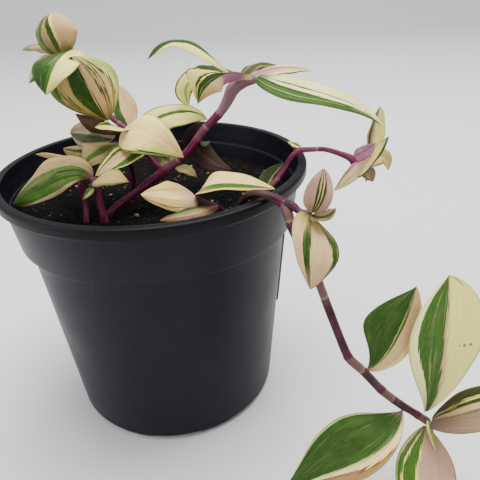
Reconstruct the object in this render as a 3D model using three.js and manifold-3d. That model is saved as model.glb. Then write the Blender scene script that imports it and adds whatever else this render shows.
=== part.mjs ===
// A small tradescantia with striped cream and green leaves in a round black nursery pot.
// Millimetres, +Z up. The origin is the middle of the pot's base on the surface it stands on,
// +X runs to the side where two shoots trail over the rim, and +Y points to the back.
import * as THREE from "three";
import { mergeVertices } from "three/addons/utils/BufferGeometryUtils.js";
import Module from "manifold-3d";

// ---- gaps and fineness ----
const SEAT_GAP = 0.3;
const POT_SEGMENTS = 48;
const STEM_SIDES = 8;
const STEM_STEPS_PER_SPAN = 2;
// Rows and columns of a blade's grid, from the width in millimetres on.
const BLADE_GRIDS = [
  { from: 16, rows: 10, columns: 5 },
  { from: 8, rows: 8, columns: 5 },
  { from: 0, rows: 7, columns: 3 },
];
const SIMPLIFY_WITHIN = 0.05;

// ---- pot ----
const RIM_RADIUS = 54;
const RIM_HEIGHT = 95.3;
const LIP_HEIGHT = 3.3;
const BASE_RADIUS = 39.9;
const BASE_ROUND = 2.4;
const WALL_TOP_RADIUS = 46.5;
const SHOULDER_HEIGHT = 74.2;
const COLLAR_RADIUS = 49.3;
const FLOOR_TOP = 3.6;
const FOOT_COUNT = 8;
const NOTCH_ANGLE = 25;
const NOTCH_FIRST = -86;
const NOTCH_HEIGHT = 2.2;
const NOTCH_INNER_RADIUS = 34;
const PAD_AZIMUTH = 7;
const PAD_SPAN = 26;
const PAD_LOW = 37;
const PAD_HIGH = 66;
const PAD_THICK = 0.8;
const RING_PIECE_STEP = 7.5;

// ---- soil ----
const SOIL_TOP = 82;
const SOIL_RADIUS = 48.4;
const SOIL_SEGMENTS = 36;
const SOIL_RINGS = 6;
const GRAIN_COUNT = 12;
const GRAIN_SIZE = 1.5;
const GOLDEN_ANGLE = 137.508;

// ---- leaves ----
const BLADE_THICK = 0.7;
const TIP_HALF_WIDTH = 0.35;
const BASE_OFFSET = 0.015;
// Exponents of the outline t^a (1 - t)^b: where a leaf is widest, and how blunt its tip is.
const OVATE = [0.55, 0.85];
const LENS = [0.9, 0.85];
const BROAD = [0.4, 0.8];
const ROUND = [0.3, 0.8];
const FULL = [0.75, 0.65];
const EGG = [1.1, 0.65];
const LATER = [1.2, 0.8];
const HEART = [0.35, 1.1];
const WAISTED = [1.7, 1.2];
const BELLIED = [1.4, 1.1];
const EVEN = [1.1, 1.1];
const SLENDER = [1.7, 1.4];
const CORNERED = [7.7, 2.4];
const TAPERED = [0.8, 1.3];
const HOODED = [0.42, 0.45];

// ---- colours ----
const POT_BLACK = 0x2a2d33;
const SOIL_BLACK = 0x17140f;
const STEM_PURPLE = 0x6e2a4c;
const CREAM = 0xe4dcae;
const GREEN = 0x5d8a48;
const PINK = 0xd3b3a0;
const OLIVE = 0x8d8a55;
const MAUVE = 0x6b4a48;

const wasm = await Module();
wasm.setup();

const degrees = (angle) => (angle * Math.PI) / 180;
const vector = (list) => new THREE.Vector3(list[0], list[1], list[2]);

// A closed geometry as a solid that can be joined and cut.
function solidOf(geometry) {
  const bare = geometry.clone();
  bare.deleteAttribute("normal");
  bare.deleteAttribute("uv");
  const merged = mergeVertices(bare, 1e-4);
  const mesh = new wasm.Mesh({
    numProp: 3,
    vertProperties: merged.attributes.position.array,
    triVerts: new Uint32Array(merged.index.array),
  });
  return new wasm.Manifold(mesh);
}

// A solid back as a geometry.
function geometryOf(solid) {
  const mesh = solid.getMesh();
  const geometry = new THREE.BufferGeometry();
  geometry.setAttribute("position", new THREE.Float32BufferAttribute(mesh.vertProperties, 3));
  geometry.setIndex(Array.from(mesh.triVerts));
  geometry.computeVertexNormals();
  return geometry;
}

// Points and triangles as a geometry.
function closedGeometry(points, triangles) {
  const geometry = new THREE.BufferGeometry();
  const flat = points.flatMap((p) => [p.x, p.y, p.z]);
  geometry.setAttribute("position", new THREE.Float32BufferAttribute(flat, 3));
  geometry.setIndex(triangles);
  geometry.computeVertexNormals();
  return geometry;
}

function partMesh(name, geometry, color, roughness) {
  const material = new THREE.MeshStandardMaterial({ color, roughness, metalness: 0 });
  const mesh = new THREE.Mesh(geometry, material);
  mesh.name = name;
  return mesh;
}

// ---- pot and soil ----
// The wall's section from the middle of the underside, up the outside and down the inside.
function potShell() {
  const profile = [
    [0, 0],
    [37.2, 0],
    [38.9, 0.7],
    [BASE_RADIUS, BASE_ROUND],
    [WALL_TOP_RADIUS, SHOULDER_HEIGHT],
    [COLLAR_RADIUS, SHOULDER_HEIGHT + 0.8],
    [51.4, RIM_HEIGHT - 5],
    [51.9, RIM_HEIGHT - 4.8],
    [51.9, RIM_HEIGHT - LIP_HEIGHT],
    [RIM_RADIUS, RIM_HEIGHT - LIP_HEIGHT],
    [RIM_RADIUS, RIM_HEIGHT - 0.7],
    [53.5, RIM_HEIGHT],
    [51, RIM_HEIGHT],
    [50.2, 87.4],
    [49.5, 87],
    [48, 75.6],
    [45.3, 74.4],
    [38.7, 4.6],
    [37.7, FLOOR_TOP],
    [0, FLOOR_TOP],
  ];
  const outline = profile.map(([r, z]) => new THREE.Vector2(r, z));
  outline.push(outline[0].clone());
  const lathe = new THREE.LatheGeometry(outline, POT_SEGMENTS);
  lathe.rotateX(Math.PI / 2);
  return solidOf(lathe);
}

// A piece of a ring that follows the pot's slope between two heights.
function ringPiece(inner, outer, azimuth, span) {
  const outline = [inner[0], inner[1], outer[1], outer[0]];
  const steps = Math.max(2, Math.round(span / RING_PIECE_STEP));
  const rings = [];
  for (let i = 0; i <= steps; i++) {
    const angle = degrees(azimuth - span / 2 + (span * i) / steps);
    rings.push(outline.map(([r, z]) => new THREE.Vector3(r * Math.cos(angle), r * Math.sin(angle), z)));
  }
  return solidOf(ringLoft(rings));
}

// Rings of equal count joined one to the next, each end closed by a fan.
function ringLoft(rings) {
  const count = rings[0].length;
  const points = rings.flat();
  const triangles = [];
  for (let r = 0; r + 1 < rings.length; r++) {
    for (let i = 0; i < count; i++) {
      const a = r * count + i;
      const b = r * count + ((i + 1) % count);
      triangles.push(a, b, b + count, a, b + count, a + count);
    }
  }
  const last = (rings.length - 1) * count;
  for (let i = 1; i + 1 < count; i++) {
    triangles.push(0, i + 1, i);
    triangles.push(last, last + i, last + i + 1);
  }
  return closedGeometry(points, triangles);
}

function pot() {
  let body = potShell();
  for (let i = 0; i < FOOT_COUNT; i++) {
    const azimuth = NOTCH_FIRST + (i * 360) / FOOT_COUNT;
    const inner = [[NOTCH_INNER_RADIUS, -1], [NOTCH_INNER_RADIUS, NOTCH_HEIGHT]];
    const outer = [[BASE_RADIUS + 2, -1], [BASE_RADIUS + 2, NOTCH_HEIGHT]];
    body = body.subtract(ringPiece(inner, outer, azimuth, NOTCH_ANGLE));
  }
  const slope = (WALL_TOP_RADIUS - BASE_RADIUS) / (SHOULDER_HEIGHT - BASE_ROUND);
  const wallAt = (z) => BASE_RADIUS + slope * (z - BASE_ROUND);
  const inner = [[wallAt(PAD_LOW) - 0.6, PAD_LOW], [wallAt(PAD_HIGH) - 0.6, PAD_HIGH]];
  const outer = [[wallAt(PAD_LOW) + PAD_THICK, PAD_LOW], [wallAt(PAD_HIGH) + PAD_THICK, PAD_HIGH]];
  body = body.add(ringPiece(inner, outer, PAD_AZIMUTH, PAD_SPAN));
  return body;
}

// The soil's height above its mean level: a few long and short swells.
function soilSwell(x, y) {
  const long = 0.6 * Math.sin(x / 11 + 0.7) * Math.cos(y / 13);
  const short = 0.3 * Math.sin(x / 3.1) * Math.sin(y / 3.7 + 1.2);
  return long + short;
}

function soilBody() {
  const foot = [[37.2, FLOOR_TOP + SEAT_GAP], [38.3, 4.9], [44.8, 74.6], [47.6, 75.9]];
  const points = [];
  const triangles = [];
  const ringOf = (radius, height) => {
    for (let i = 0; i < SOIL_SEGMENTS; i++) {
      const angle = degrees((i * 360) / SOIL_SEGMENTS);
      const x = radius * Math.cos(angle);
      const y = radius * Math.sin(angle);
      points.push(new THREE.Vector3(x, y, height(x, y)));
    }
  };
  for (const [radius, z] of foot) {
    ringOf(radius, () => z);
  }
  for (let ring = SOIL_RINGS; ring > 0; ring--) {
    ringOf((SOIL_RADIUS * ring) / SOIL_RINGS, (x, y) => SOIL_TOP + soilSwell(x, y));
  }
  const rings = foot.length + SOIL_RINGS;
  for (let r = 0; r + 1 < rings; r++) {
    for (let i = 0; i < SOIL_SEGMENTS; i++) {
      const a = r * SOIL_SEGMENTS + i;
      const b = r * SOIL_SEGMENTS + ((i + 1) % SOIL_SEGMENTS);
      triangles.push(a, b, b + SOIL_SEGMENTS, a, b + SOIL_SEGMENTS, a + SOIL_SEGMENTS);
    }
  }
  const low = points.push(new THREE.Vector3(0, 0, FLOOR_TOP + SEAT_GAP)) - 1;
  const high = points.push(new THREE.Vector3(0, 0, SOIL_TOP + soilSwell(0, 0))) - 1;
  const last = (rings - 1) * SOIL_SEGMENTS;
  for (let i = 0; i < SOIL_SEGMENTS; i++) {
    const next = (i + 1) % SOIL_SEGMENTS;
    triangles.push(low, next, i, high, last + i, last + next);
  }
  return solidOf(closedGeometry(points, triangles));
}

// Coarse grains of bark and grit that lie half sunk in the soil, on a sunflower spiral.
function soilWithGrains() {
  let body = soilBody();
  for (let i = 0; i < GRAIN_COUNT; i++) {
    const radius = (SOIL_RADIUS - 4) * Math.sqrt((i + 0.5) / GRAIN_COUNT);
    const angle = degrees(i * GOLDEN_ANGLE);
    const x = radius * Math.cos(angle);
    const y = radius * Math.sin(angle);
    const size = GRAIN_SIZE * (0.7 + 0.3 * Math.sin(i * 2.3));
    const grain = new THREE.OctahedronGeometry(size);
    grain.scale(1.2, 0.9, 0.7);
    grain.rotateZ(i);
    grain.translate(x, y, SOIL_TOP + soilSwell(x, y));
    body = body.add(solidOf(grain));
  }
  return body;
}

// ---- stems ----
// Each point is x, y, z and the radius there.
const STEM_MAIN = [
  [-16, -17, 72, 1.3],
  [-15, -16, 82, 1.3],
  [-4, -12, 89.5, 1.3],
  [5, -9, 95, 1.6],
  [13, -6.5, 100.5, 1.2],
  [19, -4, 107, 1.35],
  [25, -2.5, 112.5, 1.5],
  [27.5, -1.5, 116, 1.9],
  [29.5, -1, 119.5, 2.3],
  [32.5, -1, 121.5, 2.2],
  [36.5, -3, 122.5, 1.4],
];
const STEM_UPPER_LEFT = [
  [4.5, -9, 94.5, 1],
  [-1, -6, 100, 0.9],
  [-6, -2.5, 106.5, 1.1],
  [-9.5, -0.5, 109, 1],
  [-13.5, 2, 112, 1],
  [-18, 4, 120, 0.9],
  [-23, 3.5, 128, 0.9],
  [-25, 1.5, 132, 0.8],
];
const STEM_BEHIND = [
  [-11, 10.5, 72, 1.1],
  [-10.5, 10, 82, 1.1],
  [-9.5, 6, 92, 1],
  [-11, 3, 99, 0.9],
  [-12.5, 1, 102.5, 0.9],
];
const STEM_LEFT = [
  [-21.5, -20, 72, 1],
  [-21.5, -19, 82, 1],
  [-22, -15, 86.5, 1],
  [-23, -12.5, 92.5, 1.1],
  [-22.5, -12, 94.5, 1],
];
const STEM_CENTRE_LEFT = [
  [-14.8, -21, 72, 1.3],
  [-15, -20.5, 82, 1.3],
  [-16, -19, 88, 1.2],
  [-17, -17.5, 94, 1.3],
  [-17.5, -17, 96.5, 1.1],
];
const STEM_FRONT = [
  [24.5, -20, 72, 0.8],
  [24.5, -20.5, 83, 0.8],
  [23, -21.5, 86, 0.8],
  [19.5, -22, 87.8, 0.8],
  [15.8, -21, 89.5, 0.9],
];
const STEM_RIGHT = [
  [37, -13.5, 72, 1],
  [37.5, -13, 82, 1],
  [39.7, -12, 87.3, 1],
  [42.7, -9, 89, 1],
  [46, -5.5, 92, 1],
  [49.5, -2.5, 96.2, 1],
  [52.5, -1, 97.2, 1],
  [56.5, 0, 97, 0.9],
  [61, 1, 96.5, 0.9],
  [66.5, 1.5, 94.5, 1],
  [71, 1, 92.3, 1.4],
  [73.2, 0, 88.5, 1.8],
  [73.5, -1.5, 86.5, 1.2],
];
const STEM_TRAILING = [
  [27.5, -27, 72, 1.2],
  [28, -28, 82, 1.2],
  [29.5, -30.5, 89.5, 1.2],
  [32, -34, 94.8, 1.2],
  [34.3, -36.4, 96.7, 1.1],
  [36.8, -38, 97, 1.1],
  [39.3, -39.2, 96.4, 1.3],
  [42.3, -40.3, 94.6, 1.6],
  [43.5, -43, 92, 1.5],
  [44.5, -45.5, 88.5, 1.2],
  [47.7, -48, 83, 1.15],
  [51, -51, 75.5, 1.2],
  [53.5, -55, 68.7, 1.25],
  [56, -58, 62, 1.2],
  [58.5, -59.5, 55.5, 1.3],
  [59.5, -60, 53.5, 1.35],
  [63.5, -61, 49.5, 1.3],
  [70.5, -60, 40, 1.3],
  [77, -59, 33, 1.3],
  [81, -58, 29, 1.2],
  [87, -57.5, 23.5, 1.3],
];
const STEM_SIDE_SHOOT = [
  [42.3, -40.3, 94.6, 1.4],
  [44.5, -42, 94.8, 1.3],
  [46.5, -44, 93.8, 0.9],
  [49.3, -46.5, 94, 1],
];

// A rounded tube along a smooth line through the points, its radius eased from one to the next.
function stemSolid(points, extra = 0) {
  const line = new THREE.CatmullRomCurve3(points.map(vector), false, "centripetal");
  const spans = points.length - 1;
  const steps = spans * STEM_STEPS_PER_SPAN;
  const rings = [];
  let side = new THREE.Vector3(1, 0.2, 0.1);
  for (let i = 0; i <= steps; i++) {
    const t = i / steps;
    const along = line.getTangent(t);
    side = side.clone().addScaledVector(along, -side.dot(along)).normalize();
    const across = along.clone().cross(side);
    const span = Math.min(Math.floor(t * spans), spans - 1);
    const share = t * spans - span;
    const radius = points[span][3] * (1 - share) + points[span + 1][3] * share + extra;
    const centre = line.getPoint(t);
    if (i === 0) {
      centre.addScaledVector(along, -extra);
    }
    if (i === steps) {
      centre.addScaledVector(along, extra);
    }
    const ring = [];
    for (let k = 0; k < STEM_SIDES; k++) {
      const turn = (2 * Math.PI * k) / STEM_SIDES;
      const spoke = side.clone().multiplyScalar(Math.cos(turn));
      spoke.addScaledVector(across, Math.sin(turn));
      ring.push(centre.clone().addScaledVector(spoke, radius));
    }
    rings.push(ring);
  }
  return solidOf(ringLoft(rings));
}

const STEMS = {
  stem_main: [STEM_MAIN, STEM_UPPER_LEFT],
  stem_behind: [STEM_BEHIND],
  stem_left: [STEM_LEFT],
  stem_centre_left: [STEM_CENTRE_LEFT],
  stem_front: [STEM_FRONT],
  stem_right: [STEM_RIGHT],
  stem_trailing: [STEM_TRAILING, STEM_SIDE_SHOOT],
};

const stemWith = (lines, extra) =>
  lines.map((points) => stemSolid(points, extra)).reduce((joined, solid) => joined.add(solid));

// ---- leaves ----
// line: the midrib from base to tip. left and right: the greatest half width on that side of the
// upper face, seen with the tip up, and the form of its outline. face: where the upper side looks.
// cup: the arc of the cross-section in degrees, raised edges positive and drooping edges negative.
const LEAVES = {
  leaf_top_hood: {
    line: [[-25, 1, 132], [-23.5, -4, 139.5], [-24.5, 0, 145]],
    left: [5.5, HOODED], right: [6.5, HOODED], face: [0.3, -1, 0.1], cup: -90,
    color: CREAM,
  },
  leaf_top_inner: {
    line: [[-26, 3, 132], [-29.5, 0, 137.5], [-28, 3.5, 144]],
    left: [5, HOODED], right: [5, HOODED], face: [-0.5, -1, 0], cup: -60,
    color: GREEN,
  },
  leaf_top_thin: {
    line: [[-27, 4, 131.5], [-32.5, 5, 134], [-38.5, 3, 134]],
    left: [2, LENS], right: [2, LENS], face: [0, -0.6, 0.8], cup: 20,
    color: MAUVE,
  },
  leaf_top_front: {
    line: [[-20.6, 0.5, 133.9], [-24.5, -13, 131], [-27.5, -15, 123]],
    left: [6.5, BROAD], right: [6.2, LATER], face: [0.1, -0.6, 0.9], cup: -30,
    color: CREAM,
  },
  leaf_top_back: {
    line: [[-24, 4, 130], [-31.5, 2, 129.5], [-37.5, 0, 124]],
    left: [4.5, OVATE], right: [4.5, OVATE], face: [0, -0.6, 0.9], cup: -20,
    color: PINK,
  },
  leaf_upper_large: {
    line: [[-13.7, -0.5, 110.9], [-16.5, -8, 122.5], [-19.5, -9, 133]],
    left: [11, EGG], right: [10.5, FULL], face: [0.2, -1, 0.1], cup: -35,
    color: CREAM,
  },
  leaf_upper_right: {
    line: [[-7, -0.5, 108.5], [-8, 4, 114.5], [-10.5, 10, 120]],
    left: [4.5, OVATE], right: [4, OVATE], face: [0.1, -1, 0.3], cup: 30,
    color: CREAM,
  },
  leaf_upper_side: {
    line: [[-7, -4, 108], [-10.5, -9, 110.5], [-15.5, -11, 111.5]],
    left: [4.5, OVATE], right: [4.5, OVATE], face: [0, -0.2, 1], cup: 30,
    color: GREEN,
  },
  leaf_upper_brown: {
    line: [[-10.5, 1, 106.5], [-18.5, 3, 107.5], [-25.5, 4, 112.5]],
    left: [5, OVATE], right: [5, OVATE], face: [0, 0.9, 0.6], cup: 20,
    color: MAUVE,
  },
  leaf_middle_large: {
    line: [[-8.5, -4, 107.5], [2, -14, 109.5], [12, -11, 100]],
    left: [7.5, BROAD], right: [8, BROAD], face: [0.1, -0.75, 0.65], cup: -45,
    color: CREAM,
  },
  leaf_middle_back: {
    line: [[-5, 0.5, 107], [8.5, 4, 111], [20, 3, 108.5]],
    left: [7, OVATE], right: [7, OVATE], face: [0, -0.4, 0.9], cup: -30,
    color: CREAM,
  },
  leaf_middle_left: {
    line: [[-11, -0.5, 102.5], [-16.5, -10, 103], [-22, -12, 98.5]],
    left: [5.5, OVATE], right: [8, OVATE], face: [-0.2, -0.6, 0.8], cup: -30,
    color: OLIVE,
  },
  leaf_middle_front: {
    line: [[-2, -7.5, 101.5], [-8.5, -14, 101.5], [-16.5, -17, 97]],
    left: [4, OVATE], right: [4.5, OVATE], face: [-0.2, -0.7, 0.7], cup: 30,
    color: GREEN,
  },
  leaf_back_pink: {
    line: [[-13, 2, 103.5], [-22.5, 6.5, 105.5], [-30, 8, 105]],
    left: [6.5, FULL], right: [4.5, OVATE], face: [0, -0.8, 0.6], cup: 20,
    color: PINK,
  },
  leaf_back_olive: {
    line: [[-12.5, 1, 100.5], [-24, 1, 99.5], [-31.5, 2, 101]],
    left: [4, OVATE], right: [4, OVATE], face: [0, -0.6, 0.8], cup: -20,
    color: OLIVE,
  },
  leaf_left_large: {
    line: [[-18, -17, 96], [-24, -21, 99.5], [-33, -22.5, 96.5], [-45, -18, 89]],
    left: [5.2, LATER], right: [8, OVATE], face: [0.1, -0.75, 0.65], cup: -50,
    color: GREEN,
  },
  leaf_left_small: {
    line: [[-17, -18.5, 95.5], [-9.5, -26, 100], [-4, -26, 98]],
    left: [3.5, OVATE], right: [3.5, OVATE], face: [0.1, -0.6, 0.8], cup: -20,
    color: CREAM,
  },
  leaf_left_back: {
    line: [[-22.5, -12, 94.5], [-29.5, -8, 100], [-39, -5, 101.5]],
    left: [2.5, OVATE], right: [2.5, OVATE], face: [0, -0.2, 1], cup: 0,
    color: CREAM,
  },
  leaf_left_bud: {
    line: [[-17, -19.5, 94], [-18.5, -21, 93], [-20.5, -22, 91]],
    left: [1.2, OVATE], right: [1.2, OVATE], face: [0, -0.8, 0.5], cup: 20,
    color: GREEN,
  },
  leaf_crown_arching: {
    line: [[30.0, 0.1, 123.0], [20.5, 3, 129.9], [11.5, 5, 133.9], [2, 2, 129.5]],
    left: [3.2, LATER], right: [3.2, LATER], face: [0, -0.3, 1], cup: -10,
    color: CREAM,
  },
  leaf_crown_hanging: {
    line: [[35.7, -4.6, 123.3], [28.4, -7.2, 125.7], [22.2, -11.6, 123.2], [17.4, -3.6, 115.3]],
    left: [5.1, TAPERED], right: [8.5, CORNERED], face: [-0.34, -0.92, -0.18], cup: -53,
    color: CREAM,
  },
  leaf_crown_dark: {
    line: [[31.5, 3, 122.5], [23.5, 7, 125], [17, 8, 125.5]],
    left: [2.5, OVATE], right: [2.5, OVATE], face: [0, -0.1, 0.9], cup: 0,
    color: GREEN,
  },
  leaf_crown_pale: {
    line: [[31, 2, 121.5], [21, 6, 122.5], [14, 7, 120], [14, 5, 113.5]],
    left: [4, LENS], right: [4.5, EGG], face: [-0.2, -0.7, 0.7], cup: 20,
    color: CREAM,
  },
  leaf_crown_olive: {
    line: [[33, 1.5, 122.5], [38, 6, 125.5], [45.5, 7, 124.5]],
    left: [3, OVATE], right: [3, OVATE], face: [0, -0.1, 0.9], cup: -20,
    color: OLIVE,
  },
  leaf_crown_pink: {
    line: [[36, -0.5, 123], [45.5, 3, 124.5], [56, 2, 123.5]],
    left: [4.5, OVATE], right: [4.5, OVATE], face: [0, -0.2, 1], cup: -20,
    color: PINK,
  },
  leaf_crown_right: {
    line: [[37.5, -3, 123], [50.5, -8, 118.5], [64.5, -9, 115], [78.5, -8, 106.5]],
    left: [5.5, OVATE], right: [4.5, BROAD], face: [-0.1, -0.6, 0.9], cup: 40,
    color: CREAM,
  },
  leaf_inner_brown: {
    line: [[19.8, -1.8, 107], [15, 7, 99], [19, 7, 92.5], [27.5, 4, 89.5]],
    left: [5, OVATE], right: [5, OVATE], face: [0, 0.8, -0.6], cup: 0,
    color: MAUVE,
  },
  leaf_inner_olive: {
    line: [[6.5, -7.5, 96.5], [3.5, 0, 96.5], [-1, 2, 99]],
    left: [4, OVATE], right: [4, OVATE], face: [0, -0.8, 0.6], cup: 0,
    color: OLIVE,
  },
  leaf_inner_crescent: {
    line: [[9, -9.5, 96], [13, -12, 96], [16, -13, 93.5]],
    left: [2, OVATE], right: [2, OVATE], face: [0, -0.4, 0.9], cup: -20,
    color: OLIVE,
  },
  leaf_front_left: {
    line: [[15.5, -21.5, 90], [8, -27, 93], [-0.5, -28, 94.5]],
    left: [5.3, ROUND], right: [7.5, ROUND], face: [0, -0.6, 0.8], cup: -50,
    color: CREAM,
  },
  leaf_front_right: {
    line: [[17, -20.5, 91], [22.5, -24.5, 95.5], [31.5, -27, 96], [41, -27.5, 94]],
    left: [5.5, ROUND], right: [4.6, BROAD], face: [0, -0.3, 0.9], cup: 30,
    color: CREAM,
  },
  leaf_front_soil: {
    line: [[22.5, -24, 87.5], [14.5, -32, 89], [6, -38, 90]],
    left: [3, OVATE], right: [3, OVATE], face: [0, -0.3, 0.9], cup: 0,
    color: OLIVE,
  },
  leaf_right_bud: {
    line: [[52, -0.5, 98], [50.5, 2, 98.5], [48, 4, 99]],
    left: [1.5, OVATE], right: [1.5, OVATE], face: [0, -0.4, 0.9], cup: 0,
    color: CREAM,
  },
  leaf_right_olive: {
    line: [[39, -11, 87], [40.5, -5, 89], [46.5, 1.5, 92]],
    left: [3, OVATE], right: [3, OVATE], face: [0.2, -0.8, 0.6], cup: 20,
    color: OLIVE,
  },
  leaf_right_upright: {
    line: [[78, 2, 92], [79, 4, 100.5], [80, 3, 110.5]],
    left: [4, LENS], right: [5, LENS], face: [0.5, -0.7, 0.4], cup: 30,
    color: CREAM,
  },
  leaf_right_sheath: {
    line: [[71.5, 1, 93], [75, 0.5, 95], [79, 1, 98]],
    left: [2.5, OVATE], right: [2.5, OVATE], face: [0, -0.8, 0.6], cup: 0,
    color: STEM_PURPLE,
  },
  leaf_right_curved: {
    line: [[71, -3, 86], [75, -6, 91.5], [78, -7, 97.5], [81.5, -5, 102]],
    left: [2.3, LATER], right: [2.6, LATER], face: [-0.5, -0.2, 0.8], cup: 40,
    color: CREAM,
  },
  leaf_right_tan: {
    line: [[74, 2, 88.5], [83.5, 8, 90.5], [86, 6, 85.5]],
    left: [3.5, OVATE], right: [3.5, OVATE], face: [0, -0.8, 0.6], cup: 0,
    color: PINK,
  },
  leaf_right_mauve: {
    line: [[74, 1, 87], [78, 4, 85.5], [80, 4, 82]],
    left: [3.5, OVATE], right: [3.5, OVATE], face: [0, -0.8, 0.6], cup: 0,
    color: MAUVE,
  },
  leaf_right_under: {
    line: [[73.5, -3, 92], [70, -5, 89], [63, -8, 84]],
    left: [2.6, OVATE], right: [2.6, OVATE], face: [0.3, 1, 0], cup: 20,
    color: PINK,
  },
  leaf_side_upper: {
    line: [[49.5, -47, 95], [50.8, -49, 102], [52.5, -46, 107]],
    left: [3.6, OVATE], right: [4.2, OVATE], face: [-0.1, -0.9, 0.5], cup: 50,
    color: PINK,
  },
  leaf_side_folded: {
    line: [[49.8, -47.5, 94.2], [52.5, -51, 95.5], [55, -52, 98]],
    left: [2, OVATE], right: [3.5, OVATE], face: [0, -0.4, 0.9], cup: 60,
    color: OLIVE,
  },
  leaf_side_lower: {
    line: [[49, -48, 94], [47, -57, 88.5], [47.5, -60, 78]],
    left: [8.6, FULL], right: [4.8, HEART], face: [0.2, -0.8, 0.6], cup: 30,
    color: PINK,
  },
  leaf_low_left: {
    line: [[64.5, -61, 50], [72.5, -56.5, 55.5], [81, -48, 69.5]],
    left: [12.3, WAISTED], right: [8.8, LATER], face: [0.3, -0.93, 0.15], cup: -20,
    color: GREEN,
  },
  leaf_low_upright: {
    line: [[86, -56.5, 27], [89.5, -53.3, 51.9], [90.8, -46.5, 71.8]],
    left: [12.8, BELLIED], right: [14.5, FULL], face: [0.31, -0.88, 0.37], cup: 9,
    color: CREAM,
  },
  leaf_low_right: {
    line: [[88, -58.5, 24.5], [98, -70, 41.5], [110.5, -72, 49]],
    left: [7, OVATE], right: [7, OVATE], face: [0, -0.4, 0.9], cup: 60,
    color: CREAM,
  },
  leaf_low_broad: {
    line: [[77.3, -59.6, 31.3], [60.8, -69.3, 26.9], [39.5, -65.2, 3.5]],
    left: [8.4, EVEN], right: [9.8, SLENDER], face: [-0.36, -0.62, 0.7], cup: 4,
    color: GREEN,
  },
  leaf_low_front: {
    line: [[86.5, -58, 22], [83.5, -69, 13], [82, -80, 5]],
    left: [9.5, LENS], right: [9.5, LENS], face: [0, -0.6, 0.8], cup: 30,
    color: GREEN,
  },
  leaf_low_bud: {
    line: [[86.5, -58.5, 25], [87, -62, 22], [88, -65, 18]],
    left: [1, OVATE], right: [1, OVATE], face: [0, -0.8, 0.6], cup: 20,
    color: CREAM,
  },
};

// The point at t of the one polynomial that passes all the points at even steps.
function alongLine(points, t) {
  const sum = new THREE.Vector3();
  const last = points.length - 1;
  points.forEach((point, i) => {
    let weight = 1;
    for (let j = 0; j <= last; j++) {
      if (j !== i) {
        weight *= (t * last - j) / (i - j);
      }
    }
    sum.addScaledVector(vector(point), weight);
  });
  return sum;
}

function outlineWidth(t, [rise, fall]) {
  const raw = (s) => (s + BASE_OFFSET) ** rise * (1 - s) ** fall;
  return raw(t) / raw(rise / (rise + fall));
}

// A blade of even thickness: the midrib swept with a cross-section that is an arc.
function leafSolid(leaf, extra = 0) {
  const width = leaf.left[0] + leaf.right[0];
  const { rows, columns } = BLADE_GRIDS.find((grid) => width >= grid.from);
  const face = vector(leaf.face);
  const bend = degrees(leaf.cup) / 2;
  const half = BLADE_THICK / 2 + extra;
  const upper = [];
  const lower = [];
  for (let r = 0; r < rows; r++) {
    const t = r / (rows - 1);
    const step = 0.001;
    const centre = alongLine(leaf.line, t);
    const along = alongLine(leaf.line, t + step).sub(alongLine(leaf.line, t - step)).normalize();
    const up = face.clone().addScaledVector(along, -face.dot(along)).normalize();
    const side = along.clone().cross(up);
    if (r === 0) {
      centre.addScaledVector(along, -extra);
    }
    if (r === rows - 1) {
      centre.addScaledVector(along, extra);
    }
    for (let c = 0; c < columns; c++) {
      const s = (2 * c) / (columns - 1) - 1;
      const [most, form] = s < 0 ? leaf.left : leaf.right;
      const reach = Math.max(most * outlineWidth(t, form), TIP_HALF_WIDTH) + extra;
      const turn = s * bend;
      const across = bend === 0 ? reach * s : (reach / bend) * Math.sin(turn);
      const rise = bend === 0 ? 0 : (reach / bend) * (1 - Math.cos(turn));
      const middle = centre.clone().addScaledVector(side, across).addScaledVector(up, rise);
      const normal = up.clone().multiplyScalar(Math.cos(turn)).addScaledVector(side, -Math.sin(turn));
      upper.push(middle.clone().addScaledVector(normal, half));
      lower.push(middle.clone().addScaledVector(normal, -half));
    }
  }
  return solidOf(bladeGeometry(upper, lower, rows, columns));
}

// Two grids of points closed into one blade, both faces split along the same diagonals.
function bladeGeometry(upper, lower, rows, columns) {
  const under = rows * columns;
  const triangles = [];
  for (let r = 0; r + 1 < rows; r++) {
    for (let c = 0; c + 1 < columns; c++) {
      const a = r * columns + c;
      const b = a + 1;
      const p = a + columns;
      const q = p + 1;
      triangles.push(a, b, q, a, q, p);
      triangles.push(under + a, under + q, under + b, under + a, under + p, under + q);
    }
    const left = r * columns;
    const right = left + columns - 1;
    triangles.push(left, left + columns, under + left);
    triangles.push(left + columns, under + left + columns, under + left);
    triangles.push(right, under + right, right + columns);
    triangles.push(right + columns, under + right, under + right + columns);
  }
  for (let c = 0; c + 1 < columns; c++) {
    const end = (rows - 1) * columns + c;
    triangles.push(c, under + c, c + 1, c + 1, under + c, under + c + 1);
    triangles.push(end, end + 1, under + end, end + 1, under + end + 1, under + end);
  }
  return closedGeometry([...upper, ...lower], triangles);
}

function boxesMeet(one, other) {
  const a = one.boundingBox();
  const b = other.boundingBox();
  return [0, 1, 2].every((k) => a.min[k] < b.max[k] && b.min[k] < a.max[k]);
}

function largestPiece(solid) {
  const pieces = solid.decompose();
  return pieces.reduce((best, piece) => (piece.volume() > best.volume() ? piece : best));
}

// What is left of a solid once everything in its way is cut out with a gap round it.
function cutClear(solid, obstacles) {
  const inTheWay = obstacles.filter((obstacle) => boxesMeet(solid, obstacle));
  const touching = inTheWay.filter((obstacle) => solid.intersect(obstacle).volume() > 0);
  if (touching.length === 0) {
    return solid;
  }
  const cut = touching.reduce((rest, obstacle) => rest.subtract(obstacle), solid);
  return largestPiece(cut).simplify(SIMPLIFY_WITHIN);
}

const part = new THREE.Group();
part.name = "potted_tradescantia";
part.add(partMesh("pot", geometryOf(pot()), POT_BLACK, 0.45));

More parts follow.
